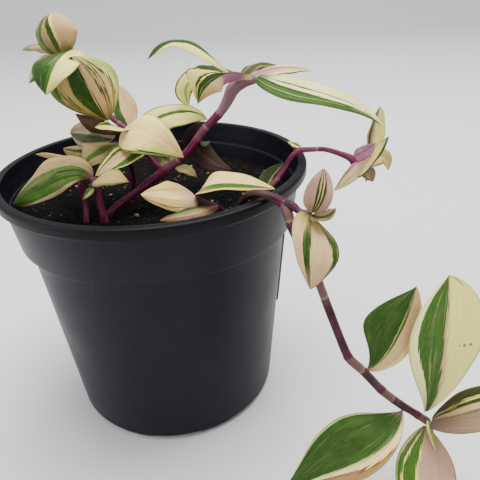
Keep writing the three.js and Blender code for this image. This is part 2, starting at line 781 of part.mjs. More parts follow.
const obstacles = [];
for (const [name, lines] of Object.entries(STEMS)) {
  part.add(partMesh(name, geometryOf(stemWith(lines, 0)), STEM_PURPLE, 0.5));
  obstacles.push(stemWith(lines, SEAT_GAP));
}

const soil = cutClear(soilWithGrains(), obstacles);
part.add(partMesh("soil", geometryOf(soil), SOIL_BLACK, 0.95));

for (const [name, leaf] of Object.entries(LEAVES)) {
  const solid = cutClear(leafSolid(leaf), obstacles);
  part.add(partMesh(name, geometryOf(solid), leaf.color, 0.55));
  obstacles.push(leafSolid(leaf, SEAT_GAP));
}

export default part;
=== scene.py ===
"""A small tradescantia with striped cream and green leaves in a round black nursery pot.

Lengths are given in millimetres and turned into metres as each mesh is made, and angles are given
in degrees. The origin is the middle of the pot's base, +X runs to the side where two shoots trail
over the rim, and +Y points to the back.
"""

import bpy
import numpy as np
from mathutils import Matrix, Vector


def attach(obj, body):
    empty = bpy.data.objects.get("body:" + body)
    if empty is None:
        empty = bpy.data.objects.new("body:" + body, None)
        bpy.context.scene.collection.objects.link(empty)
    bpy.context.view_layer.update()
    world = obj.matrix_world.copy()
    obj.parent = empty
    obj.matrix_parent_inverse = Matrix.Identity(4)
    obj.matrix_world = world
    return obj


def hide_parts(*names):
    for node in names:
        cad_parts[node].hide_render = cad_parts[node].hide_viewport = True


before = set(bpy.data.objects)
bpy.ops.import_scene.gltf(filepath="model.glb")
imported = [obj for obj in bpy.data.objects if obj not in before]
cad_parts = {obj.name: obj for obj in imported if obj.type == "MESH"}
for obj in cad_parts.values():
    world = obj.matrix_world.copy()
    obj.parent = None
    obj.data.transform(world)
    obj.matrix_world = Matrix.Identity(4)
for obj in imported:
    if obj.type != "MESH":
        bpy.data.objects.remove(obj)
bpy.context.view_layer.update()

MILLIMETRE = 0.001

# ---- camera: where the photograph was taken from ----
CAMERA_PLACE = (29.4, -174.7, 155.2)
CAMERA_DOWN = 28.05
CAMERA_ROLL = -2.65
SENSOR_WIDTH = 36
IMAGE_WIDTH = 480
FOCAL_PIXELS = 513.5

# ---- pot ----
RIM_RADIUS = 54
RIM_HEIGHT = 95.3
LIP_HEIGHT = 3.3
BASE_RADIUS = 39.9
BASE_ROUND = 2.4
WALL_TOP_RADIUS = 46.5
SHOULDER_HEIGHT = 74.2
COLLAR_RADIUS = 49.3
COLLAR_TOP_RADIUS = 51.9
FLOOR_TOP = 3.6
HUB_RADIUS = 0.01
FOOT_COUNT = 8
NOTCH_ANGLE = 25
NOTCH_FIRST = -86
NOTCH_HEIGHT = 2.2
NOTCH_INNER_RADIUS = 34
PAD_AZIMUTH = 7
PAD_SPAN = 26
PAD_LOW = 37
PAD_HIGH = 66
PAD_SLOPE = 0.6
PAD_THICK = 0.75

# ---- soil ----
SOIL_TOP = 82
SOIL_RADIUS = 48.2
SOIL_BOTTOM = FLOOR_TOP + 0.4
# Radius and height of each ring down the side and under the bottom.
SOIL_SIDE = [(47.5, 76), (44.7, 74.7), (38.2, 5), (37.1, SOIL_BOTTOM), (1, SOIL_BOTTOM)]
GRAIN_COUNT = 900

# ---- colours, as eight-bit screen values ----
SHADES = dict(
    cream=(246, 232, 130), butter=(255, 252, 172), buff=(208, 180, 98), straw=(178, 157, 86),
    blush=(214, 178, 124), rose=(188, 150, 126), magenta=(150, 62, 98), lilac=(162, 114, 128),
    mauve=(134, 112, 94), wine=(66, 36, 36), dark=(46, 74, 18), green=(66, 106, 28),
    leafy=(74, 102, 42), lime=(150, 172, 72), pale=(166, 178, 108), olive=(112, 104, 60),
    moss=(62, 68, 34), tan=(152, 128, 86), brown=(104, 74, 50), ochre=(152, 112, 62),
    peach=(240, 212, 136), citron=(222, 230, 96), orchid=(164, 98, 138), leaf_fleck=(22, 48, 6),
    husk=(142, 114, 118), hem=(168, 146, 112), stem_dark_start=(40, 20, 22), plastic=(16, 16, 24),
    worn_plastic=(26, 27, 36), painted_lip_shade=(6, 6, 7), dust=(130, 128, 122), scratch=(100, 102, 106),
    peat=(5, 5, 5), humus=(24, 18, 15), fibre=(96, 80, 56), char=(9, 8, 8), bark=(40, 30, 24),
    grit=(104, 84, 56), yellow_grit=(140, 132, 74), grit_stain=(46, 38, 32),
)
GREENS = {"dark", "green", "leafy", "moss"}

# ---- outlines of leaves: exponents of t^a (1 - t)^b ----
BASE_OFFSET = 0.015
OVATE = (0.55, 0.85)
LENS = (0.9, 0.85)
BROAD = (0.4, 0.8)
ROUND = (0.3, 0.8)
FULL = (0.75, 0.65)
EGG = (1.1, 0.65)
LATER = (1.2, 0.8)
HEART = (0.35, 1.1)
WAISTED = (1.7, 1.2)
BELLIED = (1.4, 1.1)
EVEN = (1.1, 1.1)
SLENDER = (1.7, 1.4)
CORNERED = (7.7, 2.4)
TAPERED = (0.8, 1.3)
HOODED = (0.42, 0.45)


# ---- shader writing ----
class Value:
    """A number that varies over a surface. Operators on it add Math nodes to its paint."""

    def __init__(self, paint, socket):
        self.paint = paint
        self.socket = socket

    def math(self, operation, *others):
        inputs = dict(enumerate((self, *others)))
        return self.paint.number("ShaderNodeMath", inputs, operation=operation)

    def __add__(self, other):
        return self.math("ADD", other)

    def __sub__(self, other):
        return self.math("SUBTRACT", other)

    def __mul__(self, other):
        return self.math("MULTIPLY", other)

    def __rsub__(self, other):
        return self * -1 + other

    def smooth(self, low, high):
        """0 below low and 1 above high, with an S-shaped rise between them."""
        inputs = {"Value": self, "From Min": low, "From Max": high}
        return self.paint.number(
            "ShaderNodeMapRange", inputs, "Result", interpolation_type="SMOOTHSTEP"
        )


class Paint:
    """One material with a single glossy surface, and the nodes that colour it."""

    def __init__(self, name):
        self.material = bpy.data.materials.new(name)
        self.material.use_nodes = True
        self.tree = self.material.node_tree
        self.tree.nodes.clear()
        self.surface = self.node("ShaderNodeBsdfPrincipled")
        output = self.node("ShaderNodeOutputMaterial")
        self.tree.links.new(self.surface.outputs["BSDF"], output.inputs["Surface"])

    def node(self, kind, inputs=(), **settings):
        """A node of that type, its settings made first, then each input given a value or a link."""
        node = self.tree.nodes.new(kind)
        for name, setting in settings.items():
            setattr(node, name, setting)
        for name, value in dict(inputs).items():
            self.feed(self.socket_of(node, name), value)
        return node

    def socket_of(self, node, name):
        if isinstance(name, int):
            return node.inputs[name]
        return next(socket for socket in node.inputs if name in (socket.identifier, socket.name))

    def feed(self, socket, value):
        """Links a socket to what varies, or sets it to what doesn't."""
        if isinstance(value, Value):
            value = value.socket
        if isinstance(value, bpy.types.NodeSocket):
            self.tree.links.new(value, socket)
        else:
            socket.default_value = value

    def number(self, kind, inputs, output=0, **settings):
        return Value(self, self.node(kind, inputs, **settings).outputs[output])

    def set(self, **inputs):
        """Links or sets the surface's own sockets, each named with _ for a space."""
        for name, value in inputs.items():
            self.feed(self.surface.inputs[name.replace("_", " ")], value)

    def mix(self, share, first, second):
        """One colour over another, by a share from 0 to 1."""
        inputs = {"Factor_Float": share, "A_Color": first, "B_Color": second}
        node = self.node("ShaderNodeMix", inputs, data_type="RGBA")
        return next(socket for socket in node.outputs if socket.identifier == "Result_Color")

    def parts(self, vector):
        """A vector's x, y and z."""
        node = self.node("ShaderNodeSeparateXYZ", {"Vector": vector})
        return [Value(self, node.outputs[axis]) for axis in "XYZ"]

    def blade_place(self):
        """How far a spot lies across the blade, -1 to 1, and along it, 0 to 1."""
        across, along, _ = self.parts(self.node("ShaderNodeUVMap", uv_map="blade").outputs["UV"])
        return across * 2 - 1, along

    def object_place(self):
        return self.node("ShaderNodeTexCoord").outputs["Object"]

    def vector(self, x, y, z):
        return self.node("ShaderNodeCombineXYZ", {"X": x, "Y": y, "Z": z}).outputs["Vector"]

    def noise(self, vector, scale=1, detail=2, roughness=0.5):
        """Soft noise with values round 0.5."""
        inputs = {"Vector": vector, "Scale": scale, "Detail": detail, "Roughness": roughness}
        return self.number("ShaderNodeTexNoise", inputs, "Fac")

    def bump(self, height, depth, strength):
        inputs = {"Height": height, "Distance": depth, "Strength": strength}
        self.set(Normal=self.node("ShaderNodeBump", inputs).outputs["Normal"])


def tint(red, green, blue):
    """An eight-bit screen colour as a linear one."""
    screen = np.array([red, green, blue]) / 255
    linear = np.where(screen <= 0.04045, screen / 12.92, ((screen + 0.055) / 1.055) ** 2.4)
    return (*linear.tolist(), 1)


def shade(name):
    return tint(*SHADES[name])


# ---- meshes ----
def make_piece(name, points, faces, materials, places=None, which=None):
    """A smooth mesh in metres from points in millimetres.

    places: a place on the surface for each point. which: the number of each face's material.
    """
    mesh = bpy.data.meshes.new(name)
    mesh.from_pydata((np.asarray(points) * MILLIMETRE).tolist(), [], faces)
    if places is not None:
        corners = np.empty(len(mesh.loops), dtype=np.int32)
        mesh.loops.foreach_get("vertex_index", corners)
        layer = mesh.uv_layers.new(name="blade")
        layer.data.foreach_set("uv", np.asarray(places, dtype=np.float32)[corners].ravel())
    for material in materials:
        mesh.materials.append(material)
    if which is not None:
        mesh.polygons.foreach_set("material_index", np.asarray(which, dtype=np.int32))
    mesh.polygons.foreach_set("use_smooth", np.ones(len(mesh.polygons), dtype=bool))
    mesh.update()
    piece = bpy.data.objects.new(name, mesh)
    bpy.context.scene.collection.objects.link(piece)
    return piece


def dress(piece, node):
    """Puts a finished piece in a node's place."""
    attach(piece, "root")
    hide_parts(node)


def unit(vectors):
    return vectors / np.linalg.norm(vectors, axis=-1, keepdims=True)


def grid_faces(rows, columns, wrap=True):
    """Quads between neighbouring rows of a grid whose rows are rings when wrap is true."""
    across = np.arange(columns if wrap else columns - 1)
    row, column = np.meshgrid(np.arange(rows - 1), across, indexing="ij")
    a = row * columns + column
    b = row * columns + (column + 1) % columns
    return np.stack([a, b, b + columns, a + columns], axis=-1).reshape(-1, 4).tolist()


def capped_faces(rows, columns):
    """A grid of rings and a fan over either end, round the two points that follow the grid's."""
    ring = np.arange(columns)
    following = (ring + 1) % columns
    hub, last = rows * columns, (rows - 1) * columns
    first_fan = np.stack([np.full(columns, hub), following, ring], axis=-1)
    last_fan = np.stack([np.full(columns, hub + 1), last + ring, last + following], axis=-1)
    fans = np.stack([first_fan, last_fan], axis=1).reshape(-1, 3)
    return grid_faces(rows, columns) + fans.tolist()


def ring_points(radius, height, azimuth):
    """Points round the z axis, the radii given for each ring or for each point."""
    x, y = radius * np.cos(azimuth), radius * np.sin(azimuth)
    return np.stack([x, y, np.broadcast_to(height, x.shape)], axis=-1)


# ---- leaves ----
BLADE_ROWS = 49
BLADE_COLUMNS = 25
ROW_EASE = 0.35
COLUMN_EASE = 0.5
BLADE_HALF_THICK = 0.26
EDGE_HALF_THICK = 0.05
TIP_TAPER = 0.1
TIP_THIN = 0.2
LEFT_RIPPLE = -0.8
RIB_DEPTH = 0.22
RIB_WIDTH = 0.07
LINE_STEP = 0.001
BORDER_SOFT = 0.016
LEAF_DEFAULTS = dict(
    face=(0, -0.8, 0.6), cup=0.01, ripple=(0.25, 2.3, 1), jag=0.3, mottle=0.3, cloud="leafy",
    flush=0.25, veins=0.2, edge="olive", under=("mauve", 0.45), marks=(),
)


def along_midrib(points, t):
    """The one polynomial through all the points at even steps of t (Lagrange's form)."""
    points = np.asarray(points, dtype=float)
    last = len(points) - 1
    weights = np.ones((len(t), last + 1))
    for i in range(last + 1):
        for j in range(last + 1):
            if i != j:
                weights[:, i] *= (t * last - j) / (i - j)
    return weights @ points


def half_width(side, t):
    """A side's greatest half width times its form's t^a (1 - t)^b, which is scaled to peak at 1."""
    width, (rise, fall) = side if isinstance(side, tuple) else (side, OVATE)
    peak = rise / (rise + fall)
    raw = (t + BASE_OFFSET) ** rise * (1 - t) ** fall
    return width * (raw / ((peak + BASE_OFFSET) ** rise * (1 - peak) ** fall))


def blade_surface(spec, t, s):
    """The middle of the blade and its normal at each t along and s across.

    The midrib is swept with an arc whose length on each side is the outline's half width, bent so
    that the whole cross-section turns through the cup angle. A ripple lifts the edges by a sine
    along t that grows with the square of s, and the rib is pressed in by a bell curve round s = 0.
    """
    line = spec["line"]
    centre = along_midrib(line, t)
    along = unit(along_midrib(line, t + LINE_STEP) - along_midrib(line, t - LINE_STEP))
    face = np.array(spec["face"], dtype=float)
    up = unit(face - (along @ face)[:, None] * along)
    aside = np.cross(along, up)
    sides = (spec.get(key, spec.get("half")) for key in ("left", "right"))
    left, right = (half_width(side, t)[:, None] for side in sides)
    bend = np.radians(spec["cup"]) / 2
    turn = s[None, :] * bend
    curve = np.where(s[None, :] < 0, left, right) / bend
    across = curve * np.sin(turn)
    rise = curve * (1 - np.cos(turn))
    depth, count, phase = spec["ripple"]
    ease = np.sin(np.pi * np.clip(t, 0, 1)) ** 0.7
    wave = np.sin(2 * np.pi * count * t + phase)[:, None] * np.where(s < 0, LEFT_RIPPLE, 1)
    rise = rise + depth * ease[:, None] * wave * s[None, :] ** 2
    rise = rise - RIB_DEPTH * ease[:, None] * np.exp(-((s[None, :] / RIB_WIDTH) ** 2))
    middle = centre[:, None] + across[..., None] * aside[:, None] + rise[..., None] * up[:, None]
    normal = np.cos(turn)[..., None] * up[:, None] - np.sin(turn)[..., None] * aside[:, None]
    return middle, normal


def leaf_piece(name, spec):
    """A closed blade: the upper face from left to right and the lower face back, ring by ring.

    Rows and columns lie closer towards the ends and the edges. The thickness falls with the fourth
    power of s, and evenly over the last part before the tip.
    """
    eased = (1 - np.cos(np.linspace(0, np.pi, BLADE_ROWS))) / 2
    t = ROW_EASE * eased + (1 - ROW_EASE) * np.linspace(0, 1, BLADE_ROWS)
    eased = np.sin(np.linspace(-np.pi / 2, np.pi / 2, BLADE_COLUMNS))
    s = COLUMN_EASE * eased + (1 - COLUMN_EASE) * np.linspace(-1, 1, BLADE_COLUMNS)
    middle, normal = blade_surface(spec, t, s)
    half = EDGE_HALF_THICK + (BLADE_HALF_THICK - EDGE_HALF_THICK) * (1 - s**4)
    taper = np.clip((1 - t) / TIP_TAPER, TIP_THIN, 1)
    lift = (half[None, :] * taper[:, None])[..., None] * normal
    upper = middle + lift
    upper[:, [0, -1]] = middle[:, [0, -1]]
    lower = (middle - lift)[:, -2:0:-1]
    ring = np.concatenate([upper, lower], axis=1)
    ring_s = np.concatenate([s, s[-2:0:-1]])
    places = np.stack(np.meshgrid((ring_s + 1) / 2, t), axis=-1).reshape(-1, 2)

    # Each end is closed by quads between the two faces, with a triangle at either edge.
    count = len(ring_s)
    near = np.arange(1, BLADE_COLUMNS - 2)
    quads = np.stack([near, count - near, count - near - 1, near + 1], axis=-1)
    corner = BLADE_COLUMNS - 1
    triangles = np.array([[0, count - 1, 1], [corner - 1, corner + 1, corner]])
    last = (BLADE_ROWS - 1) * count
    caps = [*quads.tolist(), *triangles.tolist()]
    caps += [*(last + quads[:, ::-1]).tolist(), *(last + triangles[:, ::-1]).tolist()]
    which = np.tile(np.where(np.arange(count) < corner, 0, 1), BLADE_ROWS - 1)
    which = np.append(which, np.zeros(len(caps), dtype=int))
    faces = grid_faces(BLADE_ROWS, count) + caps
    materials = [leaf_paint(name, spec, under) for under in (False, True)]
    return make_piece(f"{name}_blade", ring.reshape(-1, 3), faces, materials, places, which)


def border_at(border, along):
    """A border's place at each spot along the blade: a number, or a curve through three of them.

    The border is given in hundredths, and its place lies between -1 and 1.
    """
    if not isinstance(border, tuple):
        return border / 100
    base, middle, tip = (place / 100 for place in border)
    slope = 4 * middle - 3 * base - tip
    curve = 2 * base - 4 * middle + 2 * tip
    return (along * curve + slope) * along + base


def leaf_paint(name, spec, under):
    """Lengthwise bands with frayed borders, flecks, streaks, a blush at base and tip, and spots."""
    paint = Paint(f"{name}_{'under' if under else 'upper'}")
    across, along = paint.blade_place()
    seed = sum(map(ord, name)) % 97

    def noise(wide, long, offset, detail):
        """Noise with about that many lumps over half the blade's width and over its length."""
        place = paint.vector(across * wide, along * long, seed + offset)
        return paint.noise(place, detail=detail)

    sway = noise(4, 3, 0, 2) - 0.5
    fray = noise(16, 10, 3, 4) - 0.5
    streak = noise(24, 1.6, 5, 3)
    fleck = noise(26, 16, 7, 3)
    cloud = noise(2.5, 3.5, 9, 3)
    cells = noise(60, 110, 0, 1)

    place = across + sway * 0.14 + fray * 0.08 + (streak - 0.5) * spec["jag"]
    first, *others = spec["bands"]
    color = shade(first)
    green = float(first in GREENS)
    for border, band in zip(others[::2], others[1::2]):
        past = (place - border_at(border, along)).smooth(-BORDER_SOFT, BORDER_SOFT)
        color = paint.mix(past, color, shade(band))
        green = past * (float(band in GREENS) - green) + green
    pale = 1 - green

    line = streak.smooth(0.6, 0.68)
    for share, over in (
        (fleck.smooth(0.42, 0.6) * green * 0.5, "leaf_fleck"),
        (cloud.smooth(0.45, 0.7) * green * spec["mottle"], spec["cloud"]),
        (line * (fray + 0.8) * green * spec["mottle"], "pale"),
        (cloud.smooth(0.4, 0.7) * pale * spec["flush"], "rose"),
        (line * pale * spec["veins"], "olive"),
        (fleck.smooth(0.5, 0.75) * pale * 0.2, "straw"),
        (across.math("ABSOLUTE").smooth(0.9, 0.99) * 0.45, spec["edge"]),
    ):
        color = paint.mix(share, color, shade(over))
    for end, far in (("base", 1 - along), ("tip", along)):
        if end in spec:
            over, reach, strength = spec[end]
            spread = (far + sway * 0.3 + fray * 0.1).smooth(1 - reach, 1)
            color = paint.mix(spread * strength, color, shade(over))
    for at_s, at_t, width, length, over in spec["marks"]:
        off_s = (across - at_s) * (1 / width)
        off_t = (along - at_t) * (1 / length)
        spot = 1 - (off_s * off_s + off_t * off_t + fray).smooth(0.4, 1)
        color = paint.mix(spot * 0.85, color, shade(over))
    if under:
        over, strength = spec["under"]
        color = paint.mix(strength, color, shade(over))
    paint.set(Base_Color=color, Roughness=cells * 0.2 + 0.36, Specular_IOR_Level=0.14)
    paint.bump(streak * 0.8 + cells * 0.2, 0.0007, 0.7)
    return paint.material


def leaf(name, line, **given):
    """Makes one leaf and puts it in its node's place.

    line: the midrib from base to tip. left and right, or half for both: the greatest half width on
    that side of the upper face, seen with the tip up, and the form of its outline if not OVATE.
    face: where the upper side looks. cup: the arc of the cross-section in degrees. bands: shades
    from left to right with the border between each two, from -100 at the left edge to 100 at the
    right one, either one number or its value at the base, the middle and the tip. base and tip: a
    shade that spreads from there, how far, and how strongly. ripple: how far the edges wave, how
    often, and the phase at the base. jag, mottle, flush and veins: how strongly the borders fray,
    the green clouds, the pale shades redden and the streaks show. cloud and edge: the shades of the
    clouds and of the margin. under: a shade over the lower face and its share. marks: spots, each
    with its place across and along, its reach both ways and its shade.
    """
    dress(leaf_piece(name, {**LEAF_DEFAULTS, "line": line, **given}), name)


# ---- stems ----
STEM_SIDES = 20
STEM_STEPS = 10
STEM_RUN = 300
BASE_BULGE = 0.3
TIP_BULGE = 0.4
NODE_SWELL = 0.1
NODE_REACH = 0.12
SHEATH_LENGTH = 5.6
# The longer sheath above a stem's last node, and the run over which a stem's darker start fades
# out.
LAST_SHEATHS = {"stem_main": 30}
DARK_START_RUNS = {"stem_trailing": (26, 40)}
# The skin's dark and light streaks, the sheaths and the rings, as screen colours.
STEM_SHADES = {
    "stem_main": ((70, 14, 42), (118, 36, 78), (104, 66, 68), (104, 14, 62)),
    "stem_trailing": ((34, 12, 18), (72, 34, 46), (112, 82, 72), (78, 10, 46)),
    "other": ((76, 14, 46), (124, 42, 78), (104, 66, 70), (120, 20, 70)),
}


def stem_line(points, steps):
    """The centripetal Catmull-Rom curve through the points, and each spot's index among them."""
    points = np.asarray(points, dtype=float)
    ends = np.vstack([2 * points[:1] - points[1:2], points, 2 * points[-1:] - points[-2:-1]])
    gaps = np.linalg.norm(np.diff(ends, axis=0), axis=1) ** 0.5
    index = np.linspace(0, len(points) - 1, steps * (len(points) - 1) + 1)
    span = np.minimum(index.astype(int), len(points) - 2)
    share = (index - span)[:, None]
    before, start, end, after = (ends[span + k] for k in range(4))
    first, middle, last = (gaps[span + k][:, None] for k in range(3))
    onward = (end - start) / middle
    leave = ((start - before) / first - (end - before) / (first + middle) + onward) * middle
    reach = (onward - (after - start) / (middle + last) + (after - end) / last) * middle
    square = -3 * start + 3 * end - 2 * leave - reach
    cube = 2 * start - 2 * end + leave + reach
    place = start + leave * share + square * share**2 + cube * share**3
    ahead = leave + 2 * square * share + 3 * cube * share**2
    return place, unit(ahead), index


def stem(name, number, nodes, points):
    """Makes one shoot of a stem and puts it in the stem's place.

    nodes: the numbers of the points where leaves are or were attached. points: x, y, z and radius.
    The shoot is a round tube whose radius is eased between the points and swells by a bell curve at
    each node, its ends closed by low cones.
    """
    points = np.asarray(points, dtype=float)
    centre, along, index = stem_line(points[:, :3], STEM_STEPS)
    radius = np.interp(index, np.arange(len(points)), points[:, 3])
    for node in nodes:
        radius = radius * (1 + NODE_SWELL * np.exp(-(((index - node) / NODE_REACH) ** 2)))
    side = unit(np.array([0, 1, 0]) - along[:, 1:2] * along)
    other = np.cross(along, side)
    turn = np.linspace(0, 2 * np.pi, STEM_SIDES, endpoint=False)[None, :, None]
    spoke = np.cos(turn) * side[:, None] + np.sin(turn) * other[:, None]
    rings = centre[:, None] + radius[:, None, None] * spoke
    ends = [centre[0] - BASE_BULGE * along[0], centre[-1] + TIP_BULGE * along[-1]]
    run = np.append(0, np.cumsum(np.linalg.norm(np.diff(centre, axis=0), axis=1)))
    share = run / STEM_RUN
    places = np.stack(np.meshgrid(np.cos(turn) / 2 + 0.5, share), axis=-1).reshape(-1, 2)
    places = np.vstack([places, [[0.5, 0], [0.5, share[-1]]]])
    paint = stem_paint(name, number, np.interp(nodes, index, run).tolist())
    faces = capped_faces(len(index), STEM_SIDES)
    points = np.vstack([rings.reshape(-1, 3), ends])
    dress(make_piece(f"{name}_{number}", points, faces, [paint], places), name)


def stem_paint(name, number, node_runs):
    """Skin with lengthwise streaks, a greyish sheath above each node and a bright ring below it."""
    paint = Paint(f"{name}_{number}")
    across, along = paint.blade_place()
    run = along * STEM_RUN
    low, high, sheath_color, ring_color = (
        tint(*color) for color in STEM_SHADES.get(name, STEM_SHADES["other"])
    )
    streak = paint.noise(paint.vector(across * 5, run * 0.16, 3), detail=3)
    patch = paint.noise(paint.object_place(), 90, 3)
    color = paint.mix(streak.smooth(0.36, 0.66), low, high)
    color = paint.mix(patch.smooth(0.52, 0.72) * 0.5, color, sheath_color)
    # The trailing stem is darker from the soil up towards the rim, fading out over the given run.
    if name in DARK_START_RUNS:
        past_dark_start = run.smooth(*DARK_START_RUNS[name])
        color = paint.mix((1 - past_dark_start) * 0.7, color, shade("stem_dark_start"))
    fringe = (streak - 0.5) * 2.4
    sheaths = [(node, SHEATH_LENGTH, sheath_color) for node in node_runs]
    if name in LAST_SHEATHS:
        sheaths[-1] = (node_runs[-1], LAST_SHEATHS[name], shade("husk"))
    for node, length, skin in sheaths:
        past = run - node + fringe
        sheath = past.smooth(-0.2, 0.5) * (1 - past.smooth(length, length + 0.5))
        color = paint.mix(sheath * 0.6, color, skin)
        hem = past.smooth(length - 0.7, length) * sheath
        color = paint.mix(hem * 0.35, color, shade("hem"))
        ring = past.smooth(-3.2, -1) * (1 - past.smooth(-0.4, 0.1))
        color = paint.mix(ring * 0.8, color, ring_color)
    paint.set(Base_Color=color, Roughness=streak * 0.25 + 0.34, Specular_IOR_Level=0.2)
    paint.bump(streak, 0.0005, 0.6)
    return paint.material


# ---- pot ----
POT_COLUMNS = 288
CORNER_RADIUS = 0.35
CORNER_STEPS = 4
CORNER_SHARE = 0.45
OUTSIDE_SHARE = 0.7


def rounded(outline):
    """Each corner of an open outline replaced by a parabola between two points near it."""
    outline = np.asarray(outline, dtype=float)
    start, corner, end = outline[:-2], outline[1:-1], outline[2:]

    def short_of(neighbour):
        """A point that lies the corner radius away, or less where the side is short."""
        side = neighbour - corner
        length = np.linalg.norm(side, axis=1, keepdims=True)
        return corner + side / length * np.minimum(CORNER_RADIUS, CORNER_SHARE * length)

    a, b = short_of(start)[:, None], short_of(end)[:, None]
    w = np.linspace(0, 1, CORNER_STEPS)[None, :, None]
    curve = (1 - w) ** 2 * a + 2 * w * (1 - w) * corner[:, None] + w**2 * b
    return np.vstack([outline[:1], curve.reshape(-1, 2), outline[-1:]])


def pot_outline():
    """The wall's section from the underside up the outside, over the lip and down to the floor."""
    slope = (WALL_TOP_RADIUS - BASE_RADIUS) / (SHOULDER_HEIGHT - BASE_ROUND)
    pad_rows = (PAD_LOW - PAD_SLOPE, PAD_LOW, PAD_HIGH, PAD_HIGH + PAD_SLOPE)
    lip_foot = RIM_HEIGHT - LIP_HEIGHT
    return [
        # underside and foot
        [HUB_RADIUS, 0],
        [NOTCH_INNER_RADIUS - 0.5, 0],
        [NOTCH_INNER_RADIUS + 0.5, 0],
        [37.2, 0],
        [38.9, 0.7],
        [BASE_RADIUS, BASE_ROUND],
        # wall, shoulder and collar
        *([BASE_RADIUS + slope * (z - BASE_ROUND), z] for z in pad_rows),
        [WALL_TOP_RADIUS, SHOULDER_HEIGHT],
        [COLLAR_RADIUS, SHOULDER_HEIGHT + 0.8],
        [51.4, RIM_HEIGHT - 5],
        [COLLAR_TOP_RADIUS, RIM_HEIGHT - 4.8],
        # lip
        [COLLAR_TOP_RADIUS, lip_foot],
        [RIM_RADIUS, lip_foot],
        [RIM_RADIUS, RIM_HEIGHT - 0.7],
        [53.5, RIM_HEIGHT],
        [51, RIM_HEIGHT],
        # inside, with a step behind the lip and one behind the shoulder
        [50.2, 87.4],
        [49.5, 87],
        [48, 75.6],
        [45.3, 74.4],
        [38.7, 4.6],
        [37.7, FLOOR_TOP],
        [HUB_RADIUS, FLOOR_TOP],
    ]


def pot_piece():
    """The outline turned round the axis; near the base it is lifted in each notch, and the label
    pad is pushed out between its two heights and its two sides."""
    outline = rounded(pot_outline())
    degrees = NOTCH_FIRST + np.arange(POT_COLUMNS) * 360 / POT_COLUMNS
    radius = np.tile(outline[:, :1], (1, POT_COLUMNS))
    height = np.tile(outline[:, 1:], (1, POT_COLUMNS))
    outside = np.arange(len(outline))[:, None] < len(outline) * OUTSIDE_SHARE
    pitch = 360 / FOOT_COUNT
    off = (degrees - NOTCH_FIRST + pitch / 2) % pitch - pitch / 2
    in_notch = (np.abs(off) <= NOTCH_ANGLE / 2) & (radius > NOTCH_INNER_RADIUS) & outside
    height = np.where(in_notch, np.maximum(height, NOTCH_HEIGHT), height)
    aside = (degrees - PAD_AZIMUTH + 180) % 360 - 180
    on_pad = (np.abs(aside) <= PAD_SPAN / 2) & (height >= PAD_LOW) & (height <= PAD_HIGH)
    radius = radius + np.where(on_pad & outside, PAD_THICK, 0)
    grid = ring_points(radius, height, np.radians(degrees))
    points = np.vstack([grid.reshape(-1, 3), [[0, 0, 0], [0, 0, FLOOR_TOP]]])
    return make_piece("pot_shell", points, capped_faces(len(outline), POT_COLUMNS), [pot_paint()])


def pot_paint():
    """Satin black plastic with worn patches, scratches and dust specks; painted shade makes the lip
    blacker.
    """
    paint = Paint("pot_black")
    place = paint.object_place()
    x, y, z = paint.parts(place)
    lip_foot = (RIM_HEIGHT - LIP_HEIGHT) * MILLIMETRE
    wear = paint.noise(place, 60, 5)
    scratch = paint.noise(paint.vector(x * 900, y * 900, z * 60), 1, 3)
    speck = paint.noise(place, 900, 2)
    color = paint.mix(wear.smooth(0.4, 0.75) * 0.4, shade("plastic"), shade("worn_plastic"))
    # Painted shade: everything above the lip's foot is darkened towards near black.
    color = paint.mix(z.smooth(lip_foot - 0.0002, lip_foot + 0.0002) * 0.8, color, shade("painted_lip_shade"))
    color = paint.mix(speck.smooth(0.78, 0.82) * 0.3, color, shade("dust"))
    color = paint.mix(scratch.smooth(0.68, 0.74) * 0.06, color, shade("scratch"))
    paint.set(Base_Color=color, Roughness=wear * 0.22 + 0.3, Specular_IOR_Level=0.12)
    paint.bump(wear + speck * 0.2, 0.0003, 0.35)
    return paint.material


# ---- soil ----
SOIL_RINGS = 60
SOIL_COLUMNS = 220


def soil_height(x, y):
    """Long swells, short lumps and fine crumbs: products of sines at ever shorter lengths."""
    swell = 0.6 * np.sin(x / 11 + 0.7) * np.cos(y / 13)
    lump = 0.3 * np.sin(x / 3.1) * np.sin(y / 3.7 + 1.2)
    crumb = 0.18 * np.sin(x / 1.3 + 2 * np.sin(y / 2.9)) * np.sin(y / 1.1 + 2 * np.sin(x / 2.3))
    return SOIL_TOP + (swell + lump + crumb) - 0.1


def soil_piece():
    """A filled disc: its top a height field on rings, its side following the wall to the floor."""
    azimuth = np.linspace(0, 2 * np.pi, SOIL_COLUMNS, endpoint=False)
    top = ring_points(np.linspace(0.02, 1, SOIL_RINGS)[:, None] * SOIL_RADIUS, 0, azimuth)
    top[..., 2] = soil_height(top[..., 0], top[..., 1])
    radius, height = np.array(SOIL_SIDE).T[:, :, None]
    grid = np.concatenate([top, ring_points(radius, height, azimuth)])[::-1]
    hubs = [[0, 0, SOIL_BOTTOM], [0, 0, soil_height(0, 0)]]
    points = np.vstack([grid.reshape(-1, 3), hubs])
    return make_piece("soil_mix", points, capped_faces(len(grid), SOIL_COLUMNS), [soil_paint()])


def soil_paint():
    """Damp, nearly black mix with brown fibres."""
    paint = Paint("soil_dark")
    place = paint.object_place()
    coarse = paint.noise(place, 260, 6, 0.65)
    fine = paint.noise(place, 1100, 4, 0.6)
    color = paint.mix(coarse.smooth(0.45, 0.7), shade("peat"), shade("humus"))
    color = paint.mix(fine.smooth(0.68, 0.8) * 0.5, color, shade("fibre"))
    paint.set(Base_Color=color, Roughness=0.85, Specular_IOR_Level=0.08)
    paint.bump(coarse + fine * 0.6, 0.0022, 0.9)
    return paint.material


